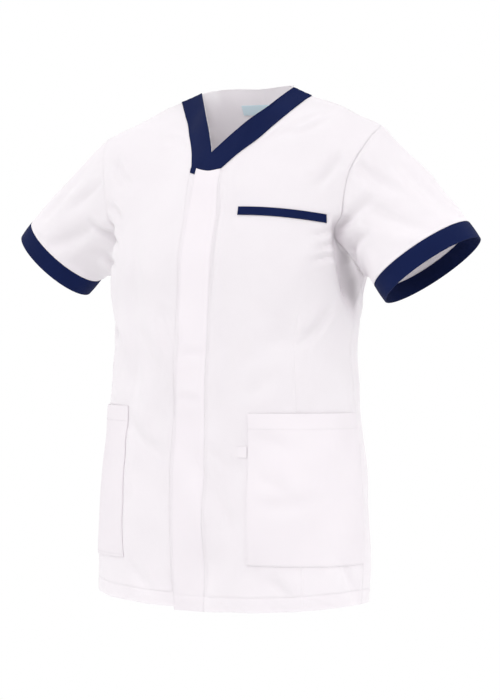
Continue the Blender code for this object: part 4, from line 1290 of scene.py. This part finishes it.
# Camera, floor and light
CAMERA_DISTANCE = 3.84
CAMERA_AZIMUTH = 34
CAMERA_HEIGHT = -0.350
CAMERA_PITCH = -0.49
FOCAL_PIXELS = 2596.5
SHIFT_PIXELS = 2.7
IMAGE_HEIGHT = 700
SENSOR = 36.0
FLOOR_Z = -1.60
FLOOR_SIZE = 60.0
FLOOR_TONE = (0.85, 0.85, 0.85, 1)
WORLD_TONE = (1.0, 0.995, 1.0, 1)
WORLD_LIGHT = 1.06
Light = namedtuple("Light", "name place target size power")
LIGHTS = (
    Light("key", (1.8, -2.5, 2.2), (0, 0, -0.25), 1.2, 24),
    Light("side", (3.2, 0.2, -0.9), (0.2, 0, -0.35), 1.0, 7),
    Light("fill", (-2.4, -2.8, 0.4), (0, 0, -0.35), 1.8, 10),
)


def add_camera():
    data = bpy.data.cameras.new("camera")
    data.sensor_fit = "AUTO"
    data.sensor_width = SENSOR
    data.lens = SENSOR * FOCAL_PIXELS / IMAGE_HEIGHT
    data.shift_x = SHIFT_PIXELS / IMAGE_HEIGHT
    data.clip_end = FLOOR_SIZE
    made = bpy.data.objects.new("camera", data)
    azimuth = radians(CAMERA_AZIMUTH)
    made.location = (CAMERA_DISTANCE * np.sin(azimuth), -CAMERA_DISTANCE * np.cos(azimuth), CAMERA_HEIGHT)
    made.rotation_euler = (radians(90 + CAMERA_PITCH), 0, azimuth)
    bpy.context.scene.collection.objects.link(made)
    bpy.context.scene.camera = made


def add_light(light):
    data = bpy.data.lights.new(light.name, "AREA")
    data.shape = "DISK"
    data.size = light.size
    data.energy = light.power
    made = bpy.data.objects.new(light.name, data)
    made.location = light.place
    way = np.array(light.target) - np.array(light.place)
    made.rotation_euler = (np.arctan2(np.hypot(way[0], way[1]), -way[2]), 0, np.arctan2(-way[0], way[1]))
    bpy.context.scene.collection.objects.link(made)


def shown_white(nodes, links, output, lit):
    """The camera sees plain white here, while the object is lit by the given shader."""
    seen = nodes.new("ShaderNodeLightPath")
    kind = "Emission" if output.bl_idname == "ShaderNodeOutputMaterial" else "Background"
    white = add_node(nodes, kind, {"Strength": 1.0, "Color": (1.0, 1.0, 1.0, 1)})
    mix = nodes.new("ShaderNodeMixShader")
    links.new(seen.outputs["Is Camera Ray"], mix.inputs[0])
    links.new(lit.outputs[0], mix.inputs[1])
    links.new(white.outputs[0], mix.inputs[2])
    links.new(mix.outputs[0], output.inputs["Surface"])


def add_floor():
    made = bpy.data.materials.new("pale_floor")
    made.use_nodes = True
    nodes = made.node_tree.nodes
    shader = nodes["Principled BSDF"]
    set_values(shader, {"Base Color": FLOOR_TONE, "Roughness": 0.9})
    shown_white(nodes, made.node_tree.links, nodes["Material Output"], shader)
    corners = np.array([(-1, -1, 0), (1, -1, 0), (1, 1, 0), (-1, 1, 0)]) * FLOOR_SIZE / 2
    add_mesh("floor", corners + (0, 0, FLOOR_Z), np.array([(0, 1, 2, 3)]), made)


def add_world():
    world = bpy.data.worlds.new("studio")
    world.use_nodes = True
    nodes = world.node_tree.nodes
    light = nodes["Background"]
    set_values(light, {"Color": WORLD_TONE, "Strength": WORLD_LIGHT})
    shown_white(nodes, world.node_tree.links, nodes["World Output"], light)
    bpy.context.scene.world = world
    bpy.context.scene.view_settings.view_transform = "Standard"


add_camera()
add_floor()
add_world()
for light in LIGHTS:
    add_light(light)
